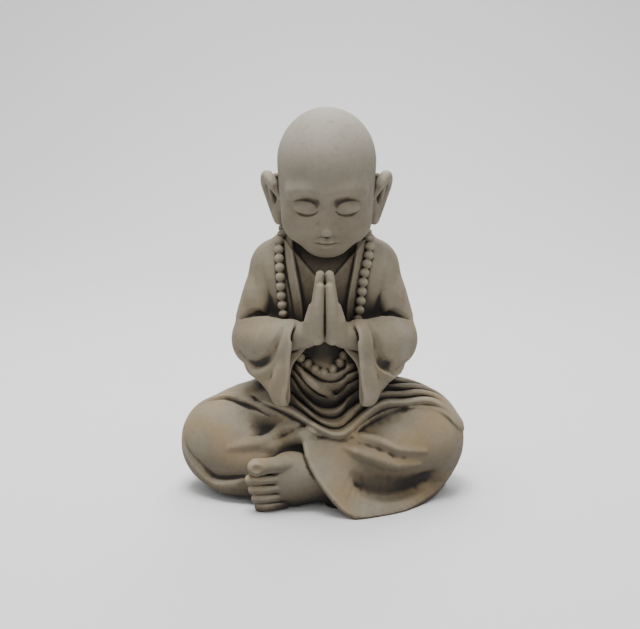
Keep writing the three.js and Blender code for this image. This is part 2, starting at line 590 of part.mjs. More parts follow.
// The surface where the sampled field is zero, as shared vertices and triangles.
function polygonize({ values, size: [nx, ny, nz], low, cell }) {
  const steps = CORNERS.map(([x, y, z]) => (z * ny + y) * nx + x);
  const axes = EDGES.map(([a, b]) => [0, 1, 2].find((i) => CORNERS[a][i] !== CORNERS[b][i]));
  const made = new Map();
  const vertices = [];
  const triangles = [];
  const vertex = (i, j, k, edge) => {
    const [a, b] = EDGES[edge];
    const start = (k * ny + j) * nx + i + steps[a];
    const key = 3 * start + axes[edge];
    if (!made.has(key)) {
      const [va, vb] = [values[start], values[(k * ny + j) * nx + i + steps[b]]];
      const place = [i, j, k].map((n, axis) => n + CORNERS[a][axis]);
      place[axes[edge]] += clamp(va / (va - vb), 0.02, 0.98);
      made.set(key, vertices.length / 3);
      vertices.push(...place.map((n, axis) => low[axis] + n * cell));
    }
    return made.get(key);
  };
  const crossCell = (i, j, k) => {
    const base = (k * ny + j) * nx + i;
    let kind = 0;
    steps.forEach((step, c) => {
      if (values[base + step] < 0) kind |= 1 << c;
    });
    if (kind === 0 || kind === 255) return;
    for (let t = 16 * kind; triTable[t] !== -1; t += 3) {
      const [a, b, c] = [0, 2, 1].map((n) => vertex(i, j, k, triTable[t + n]));
      triangles.push(a, b, c);
    }
  };
  for (let k = 0; k < nz - 1; k++) {
    for (let j = 0; j < ny - 1; j++) {
      for (let i = 0; i < nx - 1; i++) crossCell(i, j, k);
    }
  }
  return { vertices: Float64Array.from(vertices), triangles: Int32Array.from(triangles) };
}

// A heap of edges, cheapest first.
class Heap {
  constructor() { this.items = []; }

  push(item) {
    const a = this.items;
    let i = a.push(item) - 1;
    while (i > 0) {
      const up = (i - 1) >> 1;
      if (a[up].cost <= item.cost) break;
      a[i] = a[up];
      i = up;
    }
    a[i] = item;
  }

  pop() {
    const a = this.items;
    const top = a[0];
    const last = a.pop();
    if (!a.length) return top;
    let i = 0;
    for (;;) {
      let child = 2 * i + 1;
      if (child >= a.length) break;
      if (child + 1 < a.length && a[child + 1].cost < a[child].cost) child++;
      if (a[child].cost >= last.cost) break;
      a[i] = a[child];
      i = child;
    }
    a[i] = last;
    return top;
  }
}

// Thins a closed mesh by collapsing the edges that change its shape least. detail(x, y, z) says
// how much more a place counts than the rest.
function simplify({ vertices, triangles }, target, detail) {
  const count = vertices.length / 3;
  const at = (v) => [vertices[3 * v], vertices[3 * v + 1], vertices[3 * v + 2]];
  const sub = (p, q) => [p[0] - q[0], p[1] - q[1], p[2] - q[2]];
  const cross = (p, q) => [p[1] * q[2] - p[2] * q[1], p[2] * q[0] - p[0] * q[2], p[0] * q[1] - p[1] * q[0]];
  const dot = (p, q) => p[0] * q[0] + p[1] * q[1] + p[2] * q[2];
  const quadrics = new Float64Array(10 * count);
  const faces = Array.from({ length: count }, () => []);
  for (let t = 0; t < triangles.length / 3; t++) {
    const [a, b, c] = [0, 1, 2].map((i) => triangles[3 * t + i]);
    const n = cross(sub(at(b), at(a)), sub(at(c), at(a)));
    const area = Math.hypot(...n);
    const normal = n.map((v) => v / (area || 1));
    const plane = [...normal, -dot(normal, at(a))];
    const weight = area * detail(...at(a));
    for (const v of [a, b, c]) {
      faces[v].push(t);
      let slot = 10 * v;
      for (let i = 0; i < 4; i++) {
        for (let j = i; j < 4; j++) quadrics[slot++] += weight * plane[i] * plane[j];
      }
    }
  }
  const version = new Int32Array(count);
  const alive = new Uint8Array(count).fill(1);
  const q = new Float64Array(10);
  // The error of a place under the quadric q, which holds the upper half of a symmetric matrix.
  const errorAt = (x, y, z) => x * (q[0] * x + 2 * (q[1] * y + q[2] * z + q[3]))
    + y * (q[4] * y + 2 * (q[5] * z + q[6])) + z * (q[7] * z + 2 * q[8]) + q[9];
  const matrix = new THREE.Matrix3();
  const lowest = new THREE.Vector3();
  function best(a, b) {
    for (let i = 0; i < 10; i++) q[i] = quadrics[10 * a + i] + quadrics[10 * b + i];
    matrix.set(q[0], q[1], q[2], q[1], q[4], q[5], q[2], q[5], q[7]);
    const [pa, pb] = [at(a), at(b)];
    const middle = pa.map((v, i) => (v + pb[i]) / 2);
    const places = [middle, pa, pb];
    const length = Math.hypot(...sub(pa, pb));
    if (Math.abs(matrix.determinant()) > 1e-9) {
      const place = lowest.set(-q[3], -q[6], -q[8]).applyMatrix3(matrix.invert()).toArray();
      if (Math.hypot(...sub(place, middle)) < 1.5 * length) places.unshift(place);
    }
    let chosen = null;
    for (const place of places) {
      const cost = errorAt(...place);
      if (!chosen || cost < chosen.cost) chosen = { cost, place };
    }
    const cost = chosen.cost + 1e-7 * length * length; // of equal ones, the shortest edge goes first
    return { cost, place: chosen.place, a, b, va: version[a], vb: version[b] };
  }
  const neighbours = (v) => {
    const found = new Set();
    for (const t of faces[v]) {
      for (let i = 0; i < 3; i++) found.add(triangles[3 * t + i]);
    }
    found.delete(v);
    return found;
  };
  const heap = new Heap();
  for (let v = 0; v < count; v++) {
    for (const w of neighbours(v)) {
      if (v < w) heap.push(best(v, w));
    }
  }
  // A collapse is refused if it would turn a face over or squash it flat.
  const keepsFaces = (v, other, place) => faces[v].every((t) => {
    const corners = [0, 1, 2].map((i) => triangles[3 * t + i]);
    if (corners.includes(other)) return true;
    const before = corners.map(at);
    const after = corners.map((c, i) => (c === v ? place : before[i]));
    const [n, m] = [before, after].map(([a, b, c]) => cross(sub(b, a), sub(c, a)));
    const [ln, lm] = [Math.hypot(...n), Math.hypot(...m)];
    const longest = Math.max(...[0, 1, 2].map((i) => Math.hypot(...sub(after[i], after[(i + 1) % 3]))));
    return dot(n, m) > 0.2 * ln * lm && lm > 0.03 * longest * longest;
  });
  let left = triangles.length / 3;
  const gone = new Uint8Array(left);
  while (left > target && heap.items.length) {
    const { a, b, va, vb, place } = heap.pop();
    if (!alive[a] || !alive[b] || version[a] !== va || version[b] !== vb) continue;
    const [na, nb] = [neighbours(a), neighbours(b)];
    let shared = 0;
    for (const v of na) if (nb.has(v)) shared++;
    if (shared !== 2 || !keepsFaces(a, b, place) || !keepsFaces(b, a, place)) continue;
    for (const t of faces[b]) {
      const corners = triangles.subarray(3 * t, 3 * t + 3);
      if (corners.includes(a)) {
        gone[t] = 1;
        left--;
        for (const v of corners) {
          if (v !== b) faces[v] = faces[v].filter((f) => f !== t);
        }
      } else {
        corners[corners.indexOf(b)] = a;
        faces[a].push(t);
      }
    }
    alive[b] = 0;
    version[a]++;
    place.forEach((v, i) => {
      vertices[3 * a + i] = v;
    });
    for (let i = 0; i < 10; i++) quadrics[10 * a + i] += quadrics[10 * b + i];
    for (const v of neighbours(a)) heap.push(best(a, v));
  }
  const number = new Int32Array(count).fill(-1);
  const kept = [];
  const index = [];
  triangles.forEach((v, i) => {
    if (gone[Math.floor(i / 3)]) return;
    if (number[v] < 0) {
      number[v] = kept.length / 3;
      kept.push(...at(v));
    }
    index.push(number[v]);
  });
  return { vertices: kept, triangles: index };
}

// The face, hands and toes keep more triangles than the rest.
function detail(x, y, z) {
  const face = Math.hypot(x, y + 17, z - 76) < 14;
  const hands = Math.hypot(x, y + 20, z - 52) < 10;
  const toes = Math.hypot(x + 14, y + 25, z - 8) < 9;
  if (face) return 5;
  return hands || toes ? 3 : 1;
}

const wasm = await Module();
wasm.setup();

// A geometry as a manifold solid, and back.
function solidOf({ vertices, triangles }) {
  return new wasm.Manifold(new wasm.Mesh({
    numProp: 3, vertProperties: Float32Array.from(vertices), triVerts: Uint32Array.from(triangles),
  }));
}

function geometryOf(solid) {
  const { vertProperties, triVerts } = solid.getMesh();
  const geometry = new THREE.BufferGeometry();
  geometry.setAttribute('position', new THREE.BufferAttribute(vertProperties, 3));
  geometry.setIndex(new THREE.BufferAttribute(triVerts, 1));
  geometry.computeVertexNormals();
  return geometry;
}

const GROUND_DEPTH = 3; // how far the forms run below the underside before they are cut
const LOW = [-44, -38, -GROUND_DEPTH];
const HIGH = [44, 30, 104];

const fine = polygonize(sample(figure(), LOW, HIGH, GRID_MM / UNIT));
const { vertices, triangles } = simplify(fine, TRIANGLES, detail);
const rough = solidOf({ vertices: vertices.map((v) => v * UNIT), triangles });
// The flat underside is cut, and any loose crumb that thinning left is dropped.
const bodies = rough.trimByPlane([0, 0, 1], 0).decompose();
const [statue] = bodies.sort((a, b) => b.volume() - a.volume());

const stone = new THREE.MeshStandardMaterial({ name: 'stone', color: 0x8f8778, roughness: 0.8 });
const mesh = new THREE.Mesh(geometryOf(statue), stone);
mesh.name = 'monk_statue';
const group = new THREE.Group();
group.name = 'monk_statue_root';
group.add(mesh);

export default group;
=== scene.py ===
# A child monk seated with crossed legs and palms together, cast in stone.
# The figure is a signed distance field, the same one as in the CAD source, with finer carving
# added. It is sampled on a fine grid, turned into a mesh, and given painted shade by how deep each place
# lies.
import math

import bpy
import numpy as np
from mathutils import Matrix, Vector


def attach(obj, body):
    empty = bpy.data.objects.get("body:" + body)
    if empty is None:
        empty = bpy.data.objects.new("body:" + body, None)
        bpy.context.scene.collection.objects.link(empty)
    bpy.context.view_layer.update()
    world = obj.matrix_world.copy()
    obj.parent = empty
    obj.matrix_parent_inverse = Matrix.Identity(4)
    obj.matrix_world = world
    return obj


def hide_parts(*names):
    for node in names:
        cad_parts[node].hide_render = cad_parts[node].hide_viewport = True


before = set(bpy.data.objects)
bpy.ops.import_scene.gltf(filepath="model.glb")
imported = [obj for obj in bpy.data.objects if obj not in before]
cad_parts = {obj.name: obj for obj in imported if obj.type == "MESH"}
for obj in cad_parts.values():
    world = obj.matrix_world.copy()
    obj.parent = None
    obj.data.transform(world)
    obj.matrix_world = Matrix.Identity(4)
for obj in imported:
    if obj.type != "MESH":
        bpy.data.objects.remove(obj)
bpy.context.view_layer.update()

# Driving dimensions, in metres
HEIGHT = 0.5  # underside to crown
BEAD_DIAMETER = 0.0124
BEAD_PITCH = 0.0122  # along the string
SLEEVE_WALL = 0.0055  # cloth at a sleeve's mouth
ROBE_LAYER = 0.0055  # how far one layer of robe stands over the next
LAP_LAYER = 0.006  # how far the lap cloth stands over the thighs
EYELID_SLIT = 0.002  # radius of the line cut between closed lids

# Mesh settings
CELL = 0.0014  # cell of the grid on which the field is sampled
TRIANGLES = 190000  # aimed at after thinning
# Corners of the two boxes that are left unthinned, in hundredths of the height: face and hands
FINE = [(-11, -26, 62), (12, -12, 84), (-6, -26, 42), (6, -12, 62)]

# Every place, radius and blend below is in hundredths of the height.
UNIT = HEIGHT / 100
BEAD = BEAD_DIAMETER / 2 / UNIT
WALL = SLEEVE_WALL / UNIT
ROBE = ROBE_LAYER / UNIT
LAP = LAP_LAYER / UNIT
SLIT = EYELID_SLIT / UNIT


def clamp(v, low=0.0, high=1.0):
    return np.minimum(np.maximum(v, low), high)


def lerp(a, b, t):
    return a + (b - a) * t


def smoothstep(v, low, high):
    t = clamp((v - low) / (high - low))
    return t * t * (3 - 2 * t)


def soft_min(a, b, k):
    """The smaller of two distances, with a soft crease of width k."""
    h = np.maximum(k - np.abs(a - b), 0) / k
    return np.minimum(a, b) - h * h * k / 4


def length(v):
    return np.sqrt(np.einsum("...i,...i", v, v))


class Form:
    """A distance function on an (n, 3) array, negative inside, and a ball that holds the form."""

    def __init__(self, centre, reach):
        self.centre = np.asarray(centre, float)
        self.reach = float(reach)

    def outside(self, at, radius, slack):
        return math.dist(self.centre, at) - self.reach - radius > slack

    def near(self, at, radius, slack):
        """What of this form can matter inside a ball: itself, a smaller group, or None."""
        return None if self.outside(at, radius, slack) else self


class Egg(Form):
    """An ellipsoid; the distance is close enough near its surface."""

    def __init__(self, at, radii):
        super().__init__(at, max(radii))
        self.radii = np.asarray(radii, float)

    def distance(self, p):
        v = (p - self.centre) / self.radii
        k0 = length(v)
        k1 = length(v / self.radii)
        return k0 * (k0 - 1) / np.maximum(k1, 1e-9)


class Bars(Form):
    """Round bars end to end, each with a radius at either end."""

    def __init__(self, points, radii):
        points = np.asarray(points, float)
        radii = np.asarray(radii, float)
        self.a, self.b, self.ra, self.rb = points[:-1], points[1:], radii[:-1], radii[1:]
        self.bound()

    def bound(self):
        ends = np.concatenate([self.a, self.b])
        r = np.concatenate([self.ra, self.rb])[:, None]
        centre = ((ends - r).min(0) + (ends + r).max(0)) / 2
        super().__init__(centre, (length(ends - centre) + r[:, 0]).max())
        self.mid = (self.a + self.b) / 2
        self.far = length(self.b - self.a) / 2 + np.maximum(self.ra, self.rb)

    def near(self, at, radius, slack):
        if self.outside(at, radius, slack):
            return None
        keep = length(self.mid - at) - self.far - radius <= slack
        if keep.all():
            return self
        if not keep.any():
            return None
        part = Bars.__new__(Bars)
        part.a, part.b, part.ra, part.rb = self.a[keep], self.b[keep], self.ra[keep], self.rb[keep]
        part.bound()
        return part

    def distance(self, p):
        q = p - self.centre
        a, v = self.a - self.centre, self.b - self.a
        vv = np.maximum((v * v).sum(1), 1e-9)
        qv = q @ v.T - (a * v).sum(1)
        qq = (q * q).sum(1)[:, None] - 2 * (q @ a.T) + (a * a).sum(1)
        t = clamp(qv / vv)
        gap = np.sqrt(np.maximum(qq + t * (t * vv - 2 * qv), 0))
        return (gap - self.ra - t * (self.rb - self.ra)).min(1)


class Web(Form):
    """A triangle of cloth or flesh, as thick as the radius given at each corner."""

    def __init__(self, corners, radii):
        self.corners = np.asarray(corners, float)
        self.radii = np.asarray(radii, float)
        centre = self.corners.mean(0)
        super().__init__(centre, length(self.corners - centre).max() + max(radii))
        a, b, c = self.corners
        self.basis = np.linalg.pinv(np.stack([b - a, c - a], 1))
        self.normal = np.cross(b - a, c - a)
        self.normal /= max(math.hypot(*self.normal), 1e-9)
        self.rim = Bars(self.corners[[0, 1, 2, 0]], self.radii[[0, 1, 2, 0]])

    def distance(self, p):
        q = p - self.corners[0]
        v, w = self.basis @ q.T
        ra, rb, rc = self.radii
        face = np.abs(q @ self.normal) - ra - v * (rb - ra) - w * (rc - ra)
        inside = (v >= 0) & (w >= 0) & (v + w <= 1)
        return np.where(inside, face, self.rim.distance(p))


class Blend(Form):
    """Forms run together like clay, with a crease of width k."""

    def __init__(self, k, forms):
        low = np.min([f.centre - f.reach for f in forms], 0)
        high = np.max([f.centre + f.reach for f in forms], 0)
        centre = (low + high) / 2
        super().__init__(centre, max(math.dist(f.centre, centre) + f.reach for f in forms) + k / 4)
        self.k = k
        self.forms = forms

    def distance(self, p):
        d = self.forms[0].distance(p)
        for form in self.forms[1:]:
            d = soft_min(d, form.distance(p), self.k)
        return d

    def near(self, at, radius, slack):
        if self.outside(at, radius, slack):
            return None
        kept = [f for f in (f.near(at, radius, slack + self.k) for f in self.forms) if f]
        return Blend(self.k, kept) if kept else None


class Carved(Form):
    """A body with tools taken out of it, with a rim of width k."""

    def __init__(self, k, body, tools):
        super().__init__(body.centre, body.reach)
        self.k, self.body, self.tools = k, body, tools

    def distance(self, p):
        d = self.body.distance(p)
        for tool in self.tools:
            d = -soft_min(-d, tool.distance(p), self.k)
        return d

    def near(self, at, radius, slack):
        body = self.body.near(at, radius, slack)
        if not body:
            return None
        tools = [t for t in (t.near(at, radius, slack + self.k) for t in self.tools) if t]
        return Carved(self.k, body, tools) if tools else body


class Raised(Form):
    """A body whose surface is lifted by height(p), as by another layer of cloth."""

    def __init__(self, most, body, height):
        super().__init__(body.centre, body.reach + most)
        self.most, self.body, self.height = most, body, height

    def distance(self, p):
        return self.body.distance(p) - self.height(p)

    def near(self, at, radius, slack):
        body = self.body.near(at, radius, slack + self.most)
        return Raised(self.most, body, self.height) if body else None


class Placed(Form):
    """A form turned about its own origin and moved."""

    def __init__(self, turn, move, body):
        self.turn, self.move, self.body = turn, np.asarray(move, float), body
        super().__init__(turn @ body.centre + self.move, body.reach)

    def distance(self, p):
        return self.body.distance((p - self.move) @ self.turn)

    def near(self, at, radius, slack):
        body = self.body.near((np.asarray(at) - self.move) @ self.turn, radius, slack)
        return Placed(self.turn, self.move, body) if body else None


def blend(k, *forms):
    flat = []
    for form in forms:
        flat.extend(form if isinstance(form, list) else [form])
    return Blend(k, flat)


def carve(k, body, *tools):
    flat = []
    for tool in tools:
        flat.extend(tool if isinstance(tool, list) else [tool])
    return Carved(k, body, flat)


def ball(at, r):
    return Egg(at, (r, r, r))


def turned(axis, degrees):
    """A rotation matrix about x or z."""
    c, s = math.cos(math.radians(degrees)), math.sin(math.radians(degrees))
    if axis == "x":
        return np.array([[1, 0, 0], [0, c, -s], [0, s, c]])
    return np.array([[c, -s, 0], [s, c, 0], [0, 0, 1]])


def curve(points, count, closed=False):
    """count + 1 points on a smooth curve through the given ones, evenly by its parameter."""
    p = np.asarray(points, float)
    n = len(p)
    if closed:
        pad = np.concatenate([p[-1:], p, p[:2]])
        spans = n
    else:
        pad = np.concatenate([2 * p[:1] - p[1:2], p, 2 * p[-1:] - p[-2:-1]])
        spans = n - 1
    out = []
    for i in range(count + 1):
        s = spans * i / count
        k = min(int(s), spans - 1)
        w = s - k
        x0, x1, x2, x3 = pad[k:k + 4]
        d0, d1, d2 = (max(math.dist(u, v), 1e-8) ** 0.5 for u, v in ((x0, x1), (x1, x2), (x2, x3)))
        t1 = ((x1 - x0) / d0 - (x2 - x0) / (d0 + d1) + (x2 - x1) / d1) * d1
        t2 = ((x2 - x1) / d1 - (x3 - x1) / (d1 + d2) + (x3 - x2) / d2) * d1
        square = -3 * x1 + 3 * x2 - 2 * t1 - t2
        cube = 2 * x1 - 2 * x2 + t1 + t2
        out.append(x1 + t1 * w + square * w ** 2 + cube * w ** 3)
    return np.array(out)


def along(values, t):
    """A value that runs through the given ones as t goes from 0 to 1."""
    return np.interp(t, np.linspace(0, 1, len(values)), values)


def flowing(values, t):
    """As along, but without corners."""
    values = np.asarray(values, float)
    at = clamp(t) * (len(values) - 1)
    i = np.minimum(at.astype(int), len(values) - 2)
    w = at - i
    a, b, c, d = (values[np.clip(i + n, 0, len(values) - 1)] for n in (-1, 0, 1, 2))
    return b + 0.5 * w * (c - a + w * (2 * a - 5 * b + 4 * c - d + w * (3 * (b - c) + d - a)))


def limb(points, radii, steps=None):
    """A limb, finger or fold: a bar along a smooth curve through points, of changing radius."""
    steps = steps or 4 * (len(points) - 1)
    return Bars(curve(points, steps), along(radii, np.linspace(0, 1, steps + 1)))


def slope(form, p, e=0.05):
    """Distance and unit gradient of a form at an array of points."""
    d = form.distance(p)
    g = np.stack([form.distance(p + e * axis) - d for axis in np.eye(3)], 1)
    return d, g / np.maximum(length(g), 1e-9)[:, None]


def settle(form, points, above=0.0, turns=6):
    """Where points come to rest on a form, or that far above its surface."""
    p = np.array(points, float)
    for _ in range(turns):
        d, g = slope(form, p)
        p -= (d - above)[:, None] * g
    return p


def fold(form, points, thickness, height=0.3, count=10):
    """A curve laid on a form, thinning to nothing at both ends, as a ridge or a tool for a crease."""
    laid = settle(form, curve(points, count), (height - 0.5) * thickness)
    radii = thickness * along([0.2, 0.75, 1, 1, 0.75, 0.2], np.linspace(0, 1, count + 1))
    return limb(laid, radii, count)


def folds(form, first, last, count, thickness, height=0.3):
    """Folds that pass evenly from one route to another."""
    first, last = np.asarray(first, float), np.asarray(last, float)
    return [fold(form, lerp(first, last, s), thickness, height) for s in np.linspace(0, 1, count)]


# Head: modelled upright round its own origin between the ears, then bowed and set on the neck.
HEAD_AT = (0.5, -6.5, 83.4)
HEAD_BOW = 21  # degrees


def ear(s):
    leaning = turned("x", -12) @ turned("z", s * -28)
    flap = Placed(leaning, (s * 12.8, 2.2, -7.4), Egg((0, 0, 0), (1.5, 3.8, 6)))
    rim = limb([
        (s * 12, -0.8, -5.6), (s * 13.6, -0.6, -2.6), (s * 15.3, 2.6, -1.8),
        (s * 15.9, 4.8, -5), (s * 14.8, 4.2, -9), (s * 12.9, 2, -13),
    ], [1, 1.35, 1.45, 1.2, 1.1, 1.4], 16)
    bowl = Egg((s * 15.1, 1, -6.6), (2.5, 2.3, 3.7))
    ridge = limb([(s * 14.9, 3.2, -3.8), (s * 14.6, 2.8, -6.4), (s * 13.8, 2, -9.6)], [0.7, 0.6, 0.5])
    lobe = Egg((s * 12.4, 0.6, -12.6), (1.6, 2, 2.4))
    return blend(0.6, carve(0.5, blend(0.8, flap, lobe), bowl), rim, ridge)


def head():
    sides = (-1, 1)
    skull = Egg((0, 1.6, 3), (12.6, 14.6, 13.2))
    jaw = Egg((0, -3.2, -7.6), (11.3, 9.8, 10.4))
    cheeks = [Egg((s * 5.6, -8.2, -9.6), (5.2, 4.2, 5)) for s in sides]
    chin = Egg((0, -9.4, -15.6), (4.6, 3.2, 2.9))
    brows = [
        limb([(s * 1.7, -12.6, 0.2), (s * 5, -12.3, 1.5), (s * 9, -9.6, 0)], [0.4, 0.5, 0.2])
        for s in sides
    ]
    sockets = [Egg((s * 5.1, -14.2, -1.5), (4.4, 2.2, 2)) for s in sides]
    upper_lids = [Egg((s * 5.1, -10.3, -3.5), (3.6, 2.8, 2.3)) for s in sides]
    lower_lids = [Egg((s * 5.1, -10.2, -5.9), (3.5, 2.8, 1.9)) for s in sides]
    nose = limb([(0, -12, -1), (0, -12.8, -5), (0, -14.1, -8.4)], [0.9, 1.1, 1.6])
    wings = [Egg((s * 1.75, -12.6, -9), (1.2, 1.3, 1)) for s in sides]
    upper_lip = limb([
        (-3.2, -11.6, -12.6), (-1.1, -12.9, -12), (0, -12.9, -12.2),
        (1.1, -12.9, -12), (3.2, -11.6, -12.6),
    ], [0.4, 0.85, 0.8, 0.85, 0.4])
    lower_lip = limb([
        (-2.7, -11.7, -13.2), (-1.3, -12.4, -13.7), (0, -12.6, -13.8),
        (1.3, -12.4, -13.7), (2.7, -11.7, -13.2),
    ], [0.5, 0.85, 0.95, 0.85, 0.5])
    flesh = blend(4, blend(6, skull, jaw), cheeks, chin)
    lids = blend(0.3, blend(1.2, carve(2.4, blend(4, flesh, brows), sockets), lower_lids), upper_lids)
    features = blend(0.6, blend(1.7, lids, nose, wings), upper_lip, lower_lip)
    closed = [
        fold(features, [
            (s * 1.7, -12, -3.9), (s * 3.5, -12.9, -4.7), (s * 5.4, -12.9, -4.9),
            (s * 7.4, -12.2, -4.5), (s * 9, -10.8, -3.5),
        ], SLIT, 0.4, 14)
        for s in sides
    ]
    nostrils = [Egg((s * 1.2, -13.5, -9.9), (0.6, 0.7, 0.6)) for s in sides]
    mouth = fold(features, [(-3.6, -11.6, -12.9), (0, -13.6, -13), (3.6, -11.6, -12.9)], 0.42, 0.5, 8)
    face = carve(0.25, features, closed, mouth, nostrils)
    return Placed(turned("x", HEAD_BOW), HEAD_AT, blend(0.9, face, ear(-1), ear(1)))


# Torso: body, neck and the layers of robe on the chest.
INNER_ROBE = 0.7  # thickness of the inner robe, as a share of the outer one


def torso():
    return blend(
        7,
        Egg((0, 1.5, 50), (14.4, 10.8, 14.4)),
        Egg((0, 0.5, 35), (15.4, 13.4, 14.4)),
        limb([(-12.5, 2.5, 58), (0, 3, 61), (12.5, 2.5, 58)], [5.2, 5.8, 5.2]),
    )


def robe_opening(z):
    """The open front of the outer robe: half the gap between its edges, by height."""
    return lerp(5.4, 8.2, smoothstep(z, 46, 66))


def robe_layer(p):
    """How far the two robes stand over the body. The inner one crosses at the neck; the outer one
    is open in front and has a band along its edge."""
    x, y, z = np.abs(p[:, 0]), p[:, 1], p[:, 2]
    front = smoothstep(-y, -2, 3) * smoothstep(z, 30, 37)
    edge = x - robe_opening(z)
    outer = smoothstep(edge, -0.3, 0.3) - 0.35 * np.exp(-((edge - 2.7) / 0.35) ** 2)
    inner = smoothstep(54.4 + 1.1 * x - z, -0.3, 0.3)
    return ROBE * (lerp(1, outer, front) + INNER_ROBE * lerp(1, inner, front))


def robes():
    collar = limb([
        (-7.8, -0.5, 64.4), (-6.8, 5, 66.2), (0, 8.4, 66.8), (6.8, 5, 66.2), (7.8, -0.5, 64.4),
    ], [2, 2.4, 2.6, 2.4, 2], 12)
    robe = Raised((1 + INNER_ROBE) * ROBE, blend(3, torso(), collar), robe_layer)
    pleats = [
        fold(robe, [(s * 15, -2, 62), (s * 14.4, -6, 57), (s * 13.6, -8, 52), (s * 13, -9, 47)], 1.6, -0.05)
        for s in (-1, 1)
    ]
    back = folds(
        robe,
        [(-4, 11, 61), (-8, 13, 48), (-12, 13, 30)],
        [(8, 11, 60), (5, 13, 46), (4, 14, 28)], 4, 1.6, 0.1,
    )
    neck = limb([(0, 4.5, 60), (0, 1, 72), (0, -3, 80)], [7.4, 6.9, 7.4])
    return blend(1, robe, pleats, back, neck)


# Arms in wide sleeves. By side: the crease under the forearm, and how deep it is cut
UNDERARM = {
    -1: [
        (-10.6, -20.6, 46), (-11.2, -21, 44), (-12, -20.4, 41.8), (-13.3, -18.4, 39.2),
        (-15.4, -15.7, 36.8), (-17.8, -13.2, 35.4), (-20.4, -11, 35.6), (-22.2, -8, 37),
    ],
    1: [
        (11.3, -19.8, 46.4), (12.1, -19.8, 43.4), (12.8, -18.6, 40.2), (13.8, -16.6, 37.1),
        (15.1, -15.4, 34.7), (16.8, -14.4, 33.4), (18.8, -13, 33.4), (21.4, -9, 35),
    ],
}
UNDERARM_DEPTH = {-1: 1.1, 1: 1.5}


def sleeve(s):
    shoulder, upper, elbow = (s * 13.4, 2.2, 57), (s * 16.6, 0, 48.5), (s * 18.2, -3, 39.8)
    fore, wrist = (s * 13.8, -11.5, 40.8), (s * 9, -17.2, 42.6)
    tip, low, drop = (s * 10.8, -19.4, 28.8), (s * 17.4, -9, 35), (s * 18.5, -3.4, 37.2)
    arm = blend(1, limb([shoulder, upper, elbow], [6, 5.8, 6]), limb([elbow, fore, wrist], [6.2, 6, 5]))
    hang = blend(2, Web([drop, wrist, low], [5, 3, 3.2]), Web([wrist, tip, low], [3.2, 2.4, 3.2]))
    cuff = limb([(s * 8.4, -18.8, 44.6), (s * 9, -20.2, 37), (s * 10.6, -19.8, 28.8)], [2.8, 2.5, 2.4], 6)
    cloth = blend(2.2, arm, blend(2.5, hang, cuff))
    mouth = Web(
        [(s * 5.4, -19.6, 43.4), (s * 7.8, -20.2, 29), (s * 10.8, -16.6, 41)],
        [5 - WALL, 3.1 - WALL / 2, 1.7],
    )
    routes = [
        ([(17.6, -2, 60), (16.2, -5.4, 54.6), (15.4, -7.4, 49), (17, -8, 46)], 2, -0.05),
        ([(20, -2, 57), (20, -4.4, 51.6), (19.6, -6.6, 47.6)], 2, -0.1),
        ([(22, -4, 45), (18, -9, 46.4), (14, -12, 46.6), (10, -16, 47)], 1.6, -0.1),
        ([(13, -22, 40), (14.6, -19, 35.4), (18, -13, 32.6), (21, -8, 33)], 1.8, 0),
        ([(11.4, -22, 38), (12.2, -21, 33), (12.4, -20, 28)], 1.5, -0.05),
    ]
    soft = [fold(cloth, np.array(route) * (s, 1, 1), thick, high) for route, thick, high in routes]
    soft += folds(
        cloth,
        [(s * 22, 2, 50), (s * 23.6, 2, 43), (s * 20, 3, 34)],
        [(s * 17, 7, 52), (s * 19, 7, 44), (s * 17, 6, 36)], 2, 1.8, 0,
    )
    if s > 0:
        elbow_fold = [(16, -7.8, 46.6), (18.7, -10, 45.5), (19.6, -12.8, 42.5), (19, -14, 39)]
        soft.append(fold(cloth, elbow_fold, 1.4, 0.1))
    folded = blend(1, cloth, soft)
    creases = [
        limb([(s * 11.8, -9.6, 58), (s * 12.4, -10.4, 48)], [0.5, 1.5]),
        fold(cloth, [(s * 12.5, -9.5, 47.6), (s * 17, -7.2, 47.4), (s * 22, -5, 45.2)], 0.8, 0.4),
        fold(folded, UNDERARM[s], UNDERARM_DEPTH[s], 0.5, 14),
    ]
    return carve(1, folded, mouth, creases)


# Hands pressed palm to palm. For each finger: x at its root, middle and tip, y likewise, and
# its height at the tip.
FINGERS = [
    ((3.7, 3.6, 3), (-21.4, -21.8, -21.4), 52),
    ((2.05, 1.7, 1.1), (-22.4, -22.7, -22), 57.2),
    ((2.1, 1.8, 1.15), (-20.4, -20.9, -20.3), 60),
    ((2.1, 1.8, 1.2), (-18.4, -18.8, -18.3), 58.6),
]
FINGER_ROOT = 44.6  # height


def hand(s):
    fingers = []
    for x, y, tip in FINGERS:
        z = (FINGER_ROOT, (FINGER_ROOT + tip) / 2, tip)
        fingers.append(limb([(s * x[i], y[i], z[i]) for i in range(3)], [2, 1.65, 1.1], 8))
    palm = limb([(s * 1.9, -21.6, 44.7), (s * 4, -20.8, 44.7)], [2.3, 2.1])
    heel = Egg((s * 2.8, -19.4, 45.6), (2.7, 4, 3.4))
    arm = limb([(s * 12, -14.5, 42), (s * 4.8, -19.2, 44.4)], [3.5, 3.4])
    thumb = limb([(s * 3, -16, 46), (s * 1.6, -14, 51), (s * 1.1, -13.6, 55)], [2, 1.5, 1.1])
    return blend(0.4, blend(1, heel, palm, fingers[0]), fingers[1:], thumb, arm)


